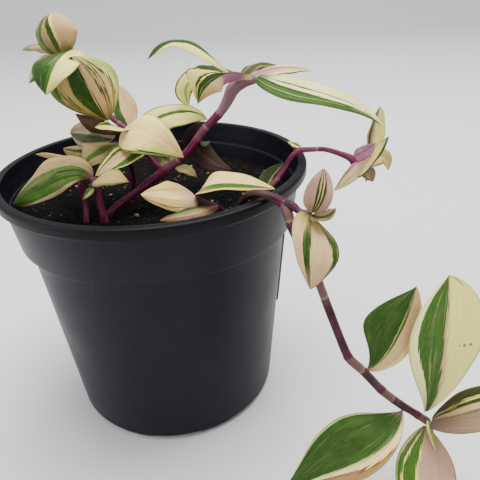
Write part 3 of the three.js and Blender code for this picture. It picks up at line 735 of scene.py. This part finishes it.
def round_lump():
    """An octahedron with its edges halved and the new points pushed out to the unit sphere."""
    corners = np.array([[1, 0, 0], [0, 1, 0], [-1, 0, 0], [0, -1, 0], [0, 0, 1], [0, 0, -1]])
    ring = np.arange(4)
    after = (ring + 1) % 4
    top, bottom = 4, 5
    far_ends = np.concatenate([after, np.full(4, top), np.full(4, bottom)])
    points = np.vstack([corners, unit((corners[np.tile(ring, 3)] + corners[far_ends]) / 2)])

    # The middles follow the corners: of the ring's edges, the upper edges and the lower ones.
    on_ring, upper, lower = 6, 10, 14
    a = np.concatenate([ring, after])
    b = np.concatenate([after, ring])
    c = np.repeat([top, bottom], 4)
    ab = np.tile(on_ring + ring, 2)
    bc = np.concatenate([upper + after, lower + ring])
    ca = np.concatenate([upper + ring, lower + after])
    faces = np.array([[a, ab, ca], [ab, b, bc], [ca, bc, c], [ab, bc, ca]])
    return points, faces.transpose(2, 0, 1).reshape(-1, 3)


def grain_piece():
    """Grit and bark: round lumps whose points are pushed in or out, each lump scaled along its
    axes, turned about z and half sunk in the soil's top."""
    draw = np.random.default_rng(11)
    ball, triangles = round_lump()
    radius = (SOIL_RADIUS - 2) * np.sqrt(draw.random(GRAIN_COUNT))
    azimuth = draw.random(GRAIN_COUNT) * 2 * np.pi
    x, y = radius * np.cos(azimuth), radius * np.sin(azimuth)
    size = 0.28 + 0.75 * draw.random(GRAIN_COUNT) ** 3
    scale = size[:, None] * draw.uniform([0.8, 0.5, 0.4], [1.5, 1, 0.8], (GRAIN_COUNT, 3))
    turn = (draw.random(GRAIN_COUNT) * 2 * np.pi)[:, None]
    push = draw.standard_normal((GRAIN_COUNT, len(ball), 1)).clip(-1, 1)
    lumps = ball * (1 + 0.22 * push) * scale[:, None]
    long, wide, high = np.moveaxis(lumps, -1, 0)
    turned = [long * np.cos(turn) - wide * np.sin(turn), long * np.sin(turn) + wide * np.cos(turn)]
    points = np.stack([*turned, high], axis=-1)
    points = points + np.stack([x, y, soil_height(x, y)], axis=-1)[:, None]
    faces = triangles + (np.arange(GRAIN_COUNT) * len(ball))[:, None, None]
    kind = np.repeat(draw.random(GRAIN_COUNT), len(ball))
    places = np.stack([kind, np.zeros_like(kind)], axis=-1)
    points, faces = points.reshape(-1, 3), faces.reshape(-1, 3).tolist()
    return make_piece("soil_grains", points, faces, [grain_paint()], places)


def grain_paint():
    """Each grain's own number picks black, brown, tan or yellow."""
    paint = Paint("soil_grit")
    kind, _ = paint.blade_place()
    mottle = paint.noise(paint.object_place(), 700, 3)
    color = paint.mix(kind.smooth(0, 0.3), shade("char"), shade("bark"))
    color = paint.mix(kind.smooth(0.58, 0.66), color, shade("grit"))
    color = paint.mix(kind.smooth(0.84, 0.88), color, shade("yellow_grit"))
    color = paint.mix(mottle.smooth(0.45, 0.65) * 0.5, color, shade("grit_stain"))
    paint.set(Base_Color=color, Roughness=0.8, Specular_IOR_Level=0.15)
    paint.bump(mottle, 0.0005, 0.7)
    return paint.material


# ---- studio, in metres ----
FLOOR_HALF_WIDTH = 3
FLOOR_FRONT = -2
SWEEP_START = 1.2
SWEEP_RADIUS = 0.8
WALL_HEIGHT = 2.6
SKY_COLOR = (0.93, 0.96, 1, 1)
SKY_STRENGTH = 1
KEY_POWER = 26
FILL_POWER = 5
LAMP_SIZE = 0.8
LAMP_TARGET = (0, 0, 0.08)


def studio():
    """A pale floor that curves up behind, a grey-white sky and two soft lamps."""
    turn = np.linspace(0.1, np.pi / 2, 14)
    level = np.linspace(FLOOR_FRONT, SWEEP_START, 5)
    back = SWEEP_START + SWEEP_RADIUS
    y = np.concatenate([level, SWEEP_START + SWEEP_RADIUS * np.sin(turn), [back]])
    z = np.concatenate([np.zeros(5), SWEEP_RADIUS * (1 - np.cos(turn)), [WALL_HEIGHT]])
    x, y = np.meshgrid([-FLOOR_HALF_WIDTH, FLOOR_HALF_WIDTH], y)
    points = np.stack([x, y, np.repeat(z[:, None], 2, axis=1)], axis=-1).reshape(-1, 3)
    paint = Paint("floor_pale")
    paint.set(Base_Color=(0.66, 0.655, 0.65, 1), Roughness=0.75)
    faces = grid_faces(len(z), 2, wrap=False)
    floor = make_piece("floor", points / MILLIMETRE, faces, [paint.material])
    world = bpy.data.worlds.new("sky")
    world.use_nodes = True
    sky = world.node_tree.nodes["Background"]
    sky.inputs["Color"].default_value = SKY_COLOR
    sky.inputs["Strength"].default_value = SKY_STRENGTH
    bpy.context.scene.world = world
    lamp("key", (0.15, 0.15, 1.1), KEY_POWER)
    lamp("side", (-0.9, -0.3, 0.5), FILL_POWER)


def lamp(name, place, power):
    """A square soft lamp that looks at the middle of the pot."""
    light = bpy.data.lights.new(name, "AREA")
    light.size = LAMP_SIZE
    light.energy = power
    holder = bpy.data.objects.new(name, light)
    holder.location = place
    ahead = Vector(LAMP_TARGET) - Vector(place)
    holder.rotation_euler = ahead.to_track_quat("-Z", "Y").to_euler()
    bpy.context.scene.collection.objects.link(holder)


def camera():
    """Looks along +Y, pitched down and rolled, from the photograph's place."""
    down = np.radians(CAMERA_DOWN)
    roll = np.radians(CAMERA_ROLL)
    level = np.array([1, 0, 0])
    ahead = np.array([0, np.cos(down), -np.sin(down)])
    upright = np.cross(level, ahead)
    right = level * np.cos(roll) + upright * np.sin(roll)
    up = upright * np.cos(roll) - level * np.sin(roll)
    lens = bpy.data.cameras.new("camera")
    lens.sensor_width = SENSOR_WIDTH
    lens.lens = FOCAL_PIXELS * SENSOR_WIDTH / IMAGE_WIDTH
    lens.clip_start = 0.01
    holder = bpy.data.objects.new("camera", lens)
    turn = Matrix(np.stack([right, up, -ahead], axis=1).tolist()).to_quaternion()
    holder.matrix_world = Matrix.LocRotScale(Vector(CAMERA_PLACE) * MILLIMETRE, turn, None)
    bpy.context.scene.collection.objects.link(holder)
    bpy.context.scene.camera = holder


# ---- the scene ----
camera()
studio()
dress(pot_piece(), "pot")
soil = soil_piece()
grains = grain_piece()
for piece in (soil, grains):
    dress(piece, "soil")

stem("stem_main", 1, nodes=[3, 4.5, 5.8], points=[
     [-16, -17, 72, 1.3], [-15, -16, 82, 1.3], [-4, -12, 89.5, 1.3], [5, -9, 95, 1.6],
     [13, -6.5, 100.5, 1.2], [19, -4, 107, 1.35], [25, -2.5, 112.5, 1.5], [27.5, -1.5, 116, 1.9],
     [29.5, -1, 119.5, 2.3], [32.5, -1, 121.5, 2.2], [36.5, -3, 122.5, 1.4]])
stem("stem_main", 2, nodes=[2, 4, 6], points=[
     [4.5, -9, 94.5, 1], [-1, -6, 100, 0.9], [-6, -2.5, 106.5, 1.1], [-9.5, -0.5, 109, 1],
     [-13.5, 2, 112, 1], [-18, 4, 120, 0.9], [-23, 3.5, 128, 0.9], [-25, 1.5, 132, 0.8]])
stem("stem_behind", 1, nodes=[3], points=[
     [-11, 10.5, 72, 1.1], [-10.5, 10, 82, 1.1], [-9.5, 6, 92, 1], [-11, 3, 99, 0.9],
     [-12.5, 1, 102.5, 0.9]])
stem("stem_left", 1, nodes=[3], points=[
     [-21.5, -20, 72, 1], [-21.5, -19, 82, 1], [-22, -15, 86.5, 1], [-23, -12.5, 92.5, 1.1],
     [-22.5, -12, 94.5, 1]])
stem("stem_centre_left", 1, nodes=[3], points=[
     [-14.8, -21, 72, 1.3], [-15, -20.5, 82, 1.3], [-16, -19, 88, 1.2], [-17, -17.5, 94, 1.3],
     [-17.5, -17, 96.5, 1.1]])
stem("stem_front", 1, nodes=[3], points=[
     [24.5, -20, 72, 0.8], [24.5, -20.5, 83, 0.8], [23, -21.5, 86, 0.8], [19.5, -22, 87.8, 0.8],
     [15.8, -21, 89.5, 0.9]])
stem("stem_right", 1, nodes=[2, 6, 11], points=[
     [37, -13.5, 72, 1], [37.5, -13, 82, 1], [39.7, -12, 87.3, 1], [42.7, -9, 89, 1],
     [46, -5.5, 92, 1], [49.5, -2.5, 96.2, 1], [52.5, -1, 97.2, 1], [56.5, 0, 97, 0.9],
     [61, 1, 96.5, 0.9], [66.5, 1.5, 94.5, 1], [71, 1, 92.3, 1.4], [73.2, 0, 88.5, 1.8],
     [73.5, -1.5, 86.5, 1.2]])
stem("stem_trailing", 1, nodes=[7, 11, 14.7, 16.9, 19.4], points=[
     [27.5, -27, 72, 1.2], [28, -28, 82, 1.2], [29.5, -30.5, 89.5, 1.2], [32, -34, 94.8, 1.2],
     [34.3, -36.4, 96.7, 1.1], [36.8, -38, 97, 1.1], [39.3, -39.2, 96.4, 1.3],
     [42.3, -40.3, 94.6, 1.6], [43.5, -43, 92, 1.5], [44.5, -45.5, 88.5, 1.2],
     [47.7, -48, 83, 1.15], [51, -51, 75.5, 1.2], [53.5, -55, 68.7, 1.25], [56, -58, 62, 1.2],
     [58.5, -59.5, 55.5, 1.3], [59.5, -60, 53.5, 1.35], [63.5, -61, 49.5, 1.3],
     [70.5, -60, 40, 1.3], [77, -59, 33, 1.3], [81, -58, 29, 1.2], [87, -57.5, 23.5, 1.3]])
stem("stem_trailing", 2, nodes=[2], points=[
     [42.3, -40.3, 94.6, 1.4], [44.5, -42, 94.8, 1.3], [46.5, -44, 93.8, 0.9],
     [49.3, -46.5, 94, 1]])

leaf("leaf_top_hood", [[-25, 1, 132], [-23.5, -4, 139.5], [-24.5, 0, 145]],
     left=(5.5, HOODED), right=(6.5, HOODED), face=(0.3, -1, 0.1), cup=-90,
     bands=["tan", (-60, -80, -120), "straw", (-35, -62, -95), "dark", (-3, -28, -70), "cream",
            (8, -12, -45), "blush"], base=("olive", 0.55, 0.8), veins=0.5, edge="pale")
leaf("leaf_top_inner", [[-26, 3, 132], [-29.5, 0, 137.5], [-28, 3.5, 144]],
     half=(5, HOODED), face=(-0.5, -1, 0), cup=-60,
     bands=["green", -75, "olive", -40, "green", -15, "tan", 20, "green"])
leaf("leaf_top_thin", [[-27, 4, 131.5], [-32.5, 5, 134], [-38.5, 3, 134]],
     half=(2, LENS), face=(0, -0.6, 0.8), cup=20, bands=["mauve", -10, "pale", 60, "olive"],
     tip=("olive", 0.3, 0.8))
leaf("leaf_top_front", [[-20.6, 0.5, 133.9], [-24.5, -13, 131], [-27.5, -15, 123]],
     left=(6.5, BROAD), right=(6.2, LATER), face=(0.1, -0.6, 0.9), cup=-30,
     bands=["cream", (10, -15, -22), "green", (40, 10, 10), "dark", 93, "green"], mottle=0.8)
leaf("leaf_top_back", [[-24, 4, 130], [-31.5, 2, 129.5], [-37.5, 0, 124]],
     half=4.5, face=(0, -0.6, 0.9), cup=-20, bands=["green", -20, "blush"])
# The butter and citron bands along the right edge are the edge's own pale green, brightened with
# painted light shining through the leaf from behind.
leaf("leaf_upper_large", [[-13.7, -0.5, 110.9], [-16.5, -8, 122.5], [-19.5, -9, 133]],
     left=(11, EGG), right=(10.5, FULL), face=(0.2, -1, 0.1), cup=-35,
     bands=["olive", (-90, -87, -80), "green", (-84, -78, -70), "straw", (-80, -72, -62), "dark",
            (-74, -66, -56), "straw", (-42, -42, -30), "dark", (2, 8, 10), "blush", (36, 34, 30),
            "dark", (42, 39, 34), "blush", (50, 46, 40), "dark", (58, 52, 45), "peach",
            (78, 66, 52), "green", (84, 74, 58), "butter", (100, 85, 64), "citron"],
     base=("olive", 0.3, 0.5), veins=0.4, flush=0.3, mottle=0.5, jag=0.45)
leaf("leaf_upper_right", [[-7, -0.5, 108.5], [-8, 4, 114.5], [-10.5, 10, 120]],
     left=4.5, right=4, face=(0.1, -1, 0.3), cup=30,
     bands=["blush", (-90, -90, -30), "dark", (-10, -40, -30), "blush"])
leaf("leaf_upper_side", [[-7, -4, 108], [-10.5, -9, 110.5], [-15.5, -11, 111.5]],
     half=4.5, face=(0, -0.2, 1), cup=30, bands=["cream", 30, "green", 85, "cream"],
     base=("olive", 0.4, 0.5))
leaf("leaf_upper_brown", [[-10.5, 1, 106.5], [-18.5, 3, 107.5], [-25.5, 4, 112.5]],
     half=5, face=(0, 0.9, 0.6), cup=20, bands=["wine", -30, "brown", 30, "moss"],
     under=("wine", 0.4), edge="tan")
leaf("leaf_middle_large", [[-8.5, -4, 107.5], [2, -14, 109.5], [12, -11, 100]],
     left=(7.5, BROAD), right=(8, BROAD), face=(0.1, -0.75, 0.65), cup=-45,
     bands=["pale", (-100, -94, -94), "cream", (-70, -60, -70), "peach", (50, 40, 10), "cream",
            (90, 82, 74), "green", (97, 92, 88), "pale"], base=("blush", 0.4, 0.4), flush=0.2)
leaf("leaf_middle_back", [[-5, 0.5, 107], [8.5, 4, 111], [20, 3, 108.5]],
     half=7, face=(0, -0.4, 0.9), cup=-30,
     bands=["lime", -75, "cream", (0, -15, -45), "green", (25, 6, -22), "cream", 90, "lime"],
     tip=("olive", 0.3, 0.45))
leaf("leaf_middle_left", [[-11, -0.5, 102.5], [-16.5, -10, 103], [-22, -12, 98.5]],
     left=5.5, right=8, face=(-0.2, -0.6, 0.8), cup=-30,
     bands=["tan", (-35, -40, -20), "green", (5, 10, 0), "tan"], base=("olive", 0.6, 0.5))
leaf("leaf_middle_front", [[-2, -7.5, 101.5], [-8.5, -14, 101.5], [-16.5, -17, 97]],
     left=4, right=4.5, face=(-0.2, -0.7, 0.7), cup=30,
     bands=["cream", (-70, -85, -110), "green", (25, -40, -95), "blush", (80, 50, 20), "green",
            (95, 68, 42), "cream", (110, 88, 70), "green"])
leaf("leaf_back_pink", [[-13, 2, 103.5], [-22.5, 6.5, 105.5], [-30, 8, 105]],
     left=(6.5, FULL), right=4.5, cup=20, bands=["mauve", -70, "moss", -20, "mauve", 50, "tan"],
     under=("mauve", 0.5))
leaf("leaf_back_olive", [[-12.5, 1, 100.5], [-24, 1, 99.5], [-31.5, 2, 101]],
     half=4, face=(0, -0.6, 0.8), cup=-20, bands=["olive", -10, "moss", 30, "tan"])
leaf("leaf_left_large", [[-18, -17, 96], [-24, -21, 99.5], [-33, -22.5, 96.5], [-45, -18, 89]],
     left=(5.2, LATER), right=8, face=(0.1, -0.75, 0.65), cup=-50,
     bands=["rose", (-66, -80, -86), "pale", (-60, -74, -80), "green", (-30, -25, -20), "dark",
            (10, 20, 15), "leafy", (30, 42, 85), "tan", (75, 80, 100), "straw"],
     base=("magenta", 0.1, 0.6), under=("magenta", 0.7), mottle=0.6, cloud="olive", jag=0.6,
     ripple=(0.6, 2.2, 0.6), flush=0.5)
leaf("leaf_left_small", [[-17, -18.5, 95.5], [-9.5, -26, 100], [-4, -26, 98]],
     half=3.5, face=(0.1, -0.6, 0.8), cup=-20, bands=["olive", -75, "straw", 75, "olive"],
     base=("orchid", 0.3, 0.7))
leaf("leaf_left_back", [[-22.5, -12, 94.5], [-29.5, -8, 100], [-39, -5, 101.5]],
     half=2.5, face=(0, -0.2, 1), bands=["olive", -20, "tan", 50, "blush"])
leaf("leaf_left_bud", [[-17, -19.5, 94], [-18.5, -21, 93], [-20.5, -22, 91]],
     half=1.2, face=(0, -0.8, 0.5), cup=20, bands=["pale", 10, "leafy"])
leaf("leaf_crown_arching", [[30, 0.1, 123], [20.5, 3, 129.9], [11.5, 5, 133.9], [2, 2, 129.5]],
     half=(3.2, LATER), face=(0, -0.3, 1), cup=-10,
     bands=["cream", (45, 20, -90), "dark", (85, 95, 110), "cream"], base=("blush", 0.3, 0.8))
leaf("leaf_crown_hanging",
     [[35.7, -4.6, 123.3], [28.4, -7.2, 125.7], [22.2, -11.6, 123.2], [17.4, -3.6, 115.3]],
     left=(5.1, TAPERED), right=(8.5, CORNERED), face=(-0.34, -0.92, -0.18), cup=-53,
     bands=["blush", 0, "dark", (20, 14, 8), "pale", (23, 16, 10), "dark", (200, 60, 28), "cream",
            (220, 68, 34), "dark", (250, 80, 44), "cream", 95, "dark"],
     marks=[(-0.2, 0.28, 1.1, 0.2, "orchid"), (-0.1, 0, 1.2, 0.1, "cream")], flush=0.1, jag=0.15)
leaf("leaf_crown_dark", [[31.5, 3, 122.5], [23.5, 7, 125], [17, 8, 125.5]],
     half=2.5, face=(0, -0.1, 0.9), bands=["dark", 60, "leafy"])
leaf("leaf_crown_pale", [[31, 2, 121.5], [21, 6, 122.5], [14, 7, 120], [14, 5, 113.5]],
     left=(4, LENS), right=(4.5, EGG), face=(-0.2, -0.7, 0.7), cup=20,
     bands=["leafy", -80, "cream", -20, "lime", 10, "cream", 85, "leafy"], flush=0.05)
leaf("leaf_crown_olive", [[33, 1.5, 122.5], [38, 6, 125.5], [45.5, 7, 124.5]],
     half=3, face=(0, -0.1, 0.9), cup=-20, bands=["moss", -50, "olive", -20, "moss", 60, "olive"])
leaf("leaf_crown_pink", [[36, -0.5, 123], [45.5, 3, 124.5], [56, 2, 123.5]],
     half=4.5, face=(0, -0.2, 1), cup=-20,
     bands=["cream", -50, "blush", (-10, -20, 0), "orchid", (20, 10, 0), "blush", 60, "cream", 85,
            "leafy"], base=("orchid", 0.55, 0.8), jag=0.5)
leaf("leaf_crown_right", [[37.5, -3, 123], [50.5, -8, 118.5], [64.5, -9, 115], [78.5, -8, 106.5]],
     left=5.5, right=(4.5, BROAD), face=(-0.1, -0.6, 0.9), cup=40,
     bands=["butter", (-65, -38, 2), "dark", (-57, -30, 8), "butter", (-40, -2, 30), "dark",
            (-20, 12, 40), "green", (20, 34, 50), "pale", (26, 39, 54), "dark", (42, 54, 64),
            "green", (70, 75, 80), "dark"], base=("dark", 0.12, 0.8), flush=0.05, mottle=0.2)
leaf("leaf_inner_brown", [[19.8, -1.8, 107], [15, 7, 99], [19, 7, 92.5], [27.5, 4, 89.5]],
     half=5, face=(0, 0.8, -0.6), bands=["wine", -20, "brown", 10, "wine", 60, "moss"],
     under=("wine", 0.5), edge="wine", flush=0.05)
leaf("leaf_inner_olive", [[6.5, -7.5, 96.5], [3.5, 0, 96.5], [-1, 2, 99]],
     half=4, bands=["olive", 0, "leafy", 40, "tan"])
leaf("leaf_inner_crescent", [[9, -9.5, 96], [13, -12, 96], [16, -13, 93.5]],
     half=2, face=(0, -0.4, 0.9), cup=-20, bands=["olive", 30, "tan"])
leaf("leaf_front_left", [[15.5, -21.5, 90], [8, -27, 93], [-0.5, -28, 94.5]],
     left=(5.3, ROUND), right=(7.5, ROUND), face=(0, -0.6, 0.8), cup=-50,
     bands=["buff", -78, "leafy", -70, "buff", (-30, -20, 0), "peach", (12, 20, 40), "buff",
            (35, 35, 50), "tan", (43, 43, 58), "buff"], base=("rose", 0.5, 0.9), edge="lime")
leaf("leaf_front_right", [[17, -20.5, 91], [22.5, -24.5, 95.5], [31.5, -27, 96], [41, -27.5, 94]],
     left=(5.5, ROUND), right=(4.6, BROAD), face=(0, -0.3, 0.9), cup=30,
     bands=["peach", (0, 8, 16), "leafy", (30, 30, 30), "green", (78, 72, 60), "buff"],
     base=("blush", 0.4, 0.4), mottle=0.5)
leaf("leaf_front_soil", [[22.5, -24, 87.5], [14.5, -32, 89], [6, -38, 90]],
     half=3, face=(0, -0.3, 0.9), bands=["brown", -35, "tan", 20, "olive", 50, "moss"],
     tip=("brown", 0.35, 0.8))
leaf("leaf_right_bud", [[52, -0.5, 98], [50.5, 2, 98.5], [48, 4, 99]],
     half=1.5, face=(0, -0.4, 0.9), bands=["cream", -30, "pale", 0, "dark", 30, "cream"])
leaf("leaf_right_olive", [[39, -11, 87], [40.5, -5, 89], [46.5, 1.5, 92]],
     half=3, face=(0.2, -0.8, 0.6), cup=20, bands=["moss", 20, "tan", 40, "wine"],
     under=("moss", 0.5))
leaf("leaf_right_upright", [[78, 2, 92], [79, 4, 100.5], [80, 3, 110.5]],
     left=(4, LENS), right=(5, LENS), face=(0.5, -0.7, 0.4), cup=30,
     bands=["blush", -82, "dark", -42, "blush", -30, "green", -22, "blush", 0, "cream"],
     base=("blush", 0.3, 0.6))
leaf("leaf_right_sheath", [[71.5, 1, 93], [75, 0.5, 95], [79, 1, 98]],
     half=2.5, bands=["orchid", -30, "mauve", 10, "orchid"], edge="magenta", jag=0.6)
leaf("leaf_right_curved", [[71, -3, 86], [75, -6, 91.5], [78, -7, 97.5], [81.5, -5, 102]],
     left=(2.3, LATER), right=(2.6, LATER), face=(-0.5, -0.2, 0.8), cup=40,
     bands=["lime", -80, "cream", (80, 60, 30), "dark"], tip=("dark", 0.3, 0.9))
leaf("leaf_right_tan", [[74, 2, 88.5], [83.5, 8, 90.5], [86, 6, 85.5]],
     half=3.5, bands=["straw", 0, "blush", 70, "tan"])
leaf("leaf_right_mauve", [[74, 1, 87], [78, 4, 85.5], [80, 4, 82]],
     half=3.5, bands=["mauve", 0, "tan", 60, "brown"], base=("wine", 0.5, 0.8))
leaf("leaf_right_under", [[73.5, -3, 92], [70, -5, 89], [63, -8, 84]],
     half=2.6, face=(0.3, 1, 0), cup=20, bands=["orchid", -60, "cream", 50, "butter", 80, "lime"],
     base=("orchid", 0.6, 0.7), under=("orchid", 0.25), edge="orchid", jag=0.6)
leaf("leaf_side_upper", [[49.5, -47, 95], [50.8, -49, 102], [52.5, -46, 107]],
     left=3.6, right=4.2, face=(-0.1, -0.9, 0.5), cup=50,
     bands=["rose", (0, -12, -18), "dark", (10, 5, -5), "blush", (13, 14, 8), "moss", (24, 28, 20),
            "blush", (28, 36, 32), "dark", (40, 54, 48), "rose"], tip=("olive", 0.15, 0.6),
     flush=0.5)
leaf("leaf_side_folded", [[49.8, -47.5, 94.2], [52.5, -51, 95.5], [55, -52, 98]],
     left=2, right=3.5, face=(0, -0.4, 0.9), cup=60, bands=["tan", 0, "moss", 55, "olive"])
leaf("leaf_side_lower", [[49, -48, 94], [47, -57, 88.5], [47.5, -60, 78]],
     left=(8.6, FULL), right=(4.8, HEART), face=(0.2, -0.8, 0.6), cup=30,
     bands=["dark", (-55, -78, -83), "blush", (-14, -8, -5), "dark", (16, 36, 46), "blush"],
     base=("straw", 0.35, 0.7), tip=("rose", 0.35, 0.5), flush=0.6, mottle=0.5, jag=0.2)
leaf("leaf_low_left", [[64.5, -61, 50], [72.5, -56.5, 55.5], [81, -48, 69.5]],
     left=(12.3, WAISTED), right=(8.8, LATER), face=(0.3, -0.93, 0.15), cup=-20,
     bands=["dark", (8, 2, -4), "pale", (12, 6, 0), "dark", (20, 14, 10), "blush", 72, "cream"],
     base=("mauve", 0.14, 0.7), edge="dark", mottle=0.35)
leaf("leaf_low_upright", [[86, -56.5, 27], [89.5, -53.3, 51.9], [90.8, -46.5, 71.8]],
     left=(12.8, BELLIED), right=(14.5, FULL), face=(0.31, -0.88, 0.37), cup=9,
     bands=["butter", (-30, -72, -75), "green", (-12, -38, -42), "pale", (-10, -36, -41), "green",
            (40, 3, 0), "blush", (50, 12, 5), "cream"],
     marks=[(0.55, 0.47, 0.05, 0.014, "brown"), (0.7, 0.475, 0.04, 0.014, "brown"),
            (0.42, 0.475, 0.04, 0.008, "tan")], tip=("brown", 0.025, 0.9), flush=0.1, mottle=0.45)
leaf("leaf_low_right", [[88, -58.5, 24.5], [98, -70, 41.5], [110.5, -72, 49]],
     half=7, face=(0, -0.4, 0.9), cup=60,
     bands=["moss", (-55, -60, -62), "cream", (-46, -52, -52), "dark", (-30, -34, -40), "blush",
            (-8, -12, -16), "olive", 0, "mauve"], base=("wine", 0.5, 0.6), flush=0.2, mottle=0.1)
leaf("leaf_low_broad", [[77.3, -59.6, 31.3], [60.8, -69.3, 26.9], [39.5, -65.2, 3.5]],
     left=(8.4, EVEN), right=(9.8, SLENDER), face=(-0.36, -0.62, 0.7), cup=4,
     bands=["ochre", (-120, -78, -30), "brown", (-120, -70, -24), "peach", (-80, -50, -20), "pale",
            (-74, -44, -16), "dark", 93, "pale"], base=("lilac", 0.14, 0.7), edge="pale",
     mottle=0.4, ripple=(0.4, 3.2, 0), jag=0.4)
leaf("leaf_low_front", [[86.5, -58, 22], [83.5, -69, 13], [82, -80, 5]],
     half=(9.5, LENS), face=(0, -0.6, 0.8), cup=30,
     bands=["rose", (0, 22, 30), "cream", (4, 27, 37), "green", (35, 72, 90), "cream", (42, 78, 94),
            "green", (70, 95, 100), "pale"], base=("mauve", 0.3, 0.4), flush=0.4, mottle=0.3)
leaf("leaf_low_bud", [[86.5, -58.5, 25], [87, -62, 22], [88, -65, 18]],
     half=1, cup=20, bands=["lime", 0, "cream"])
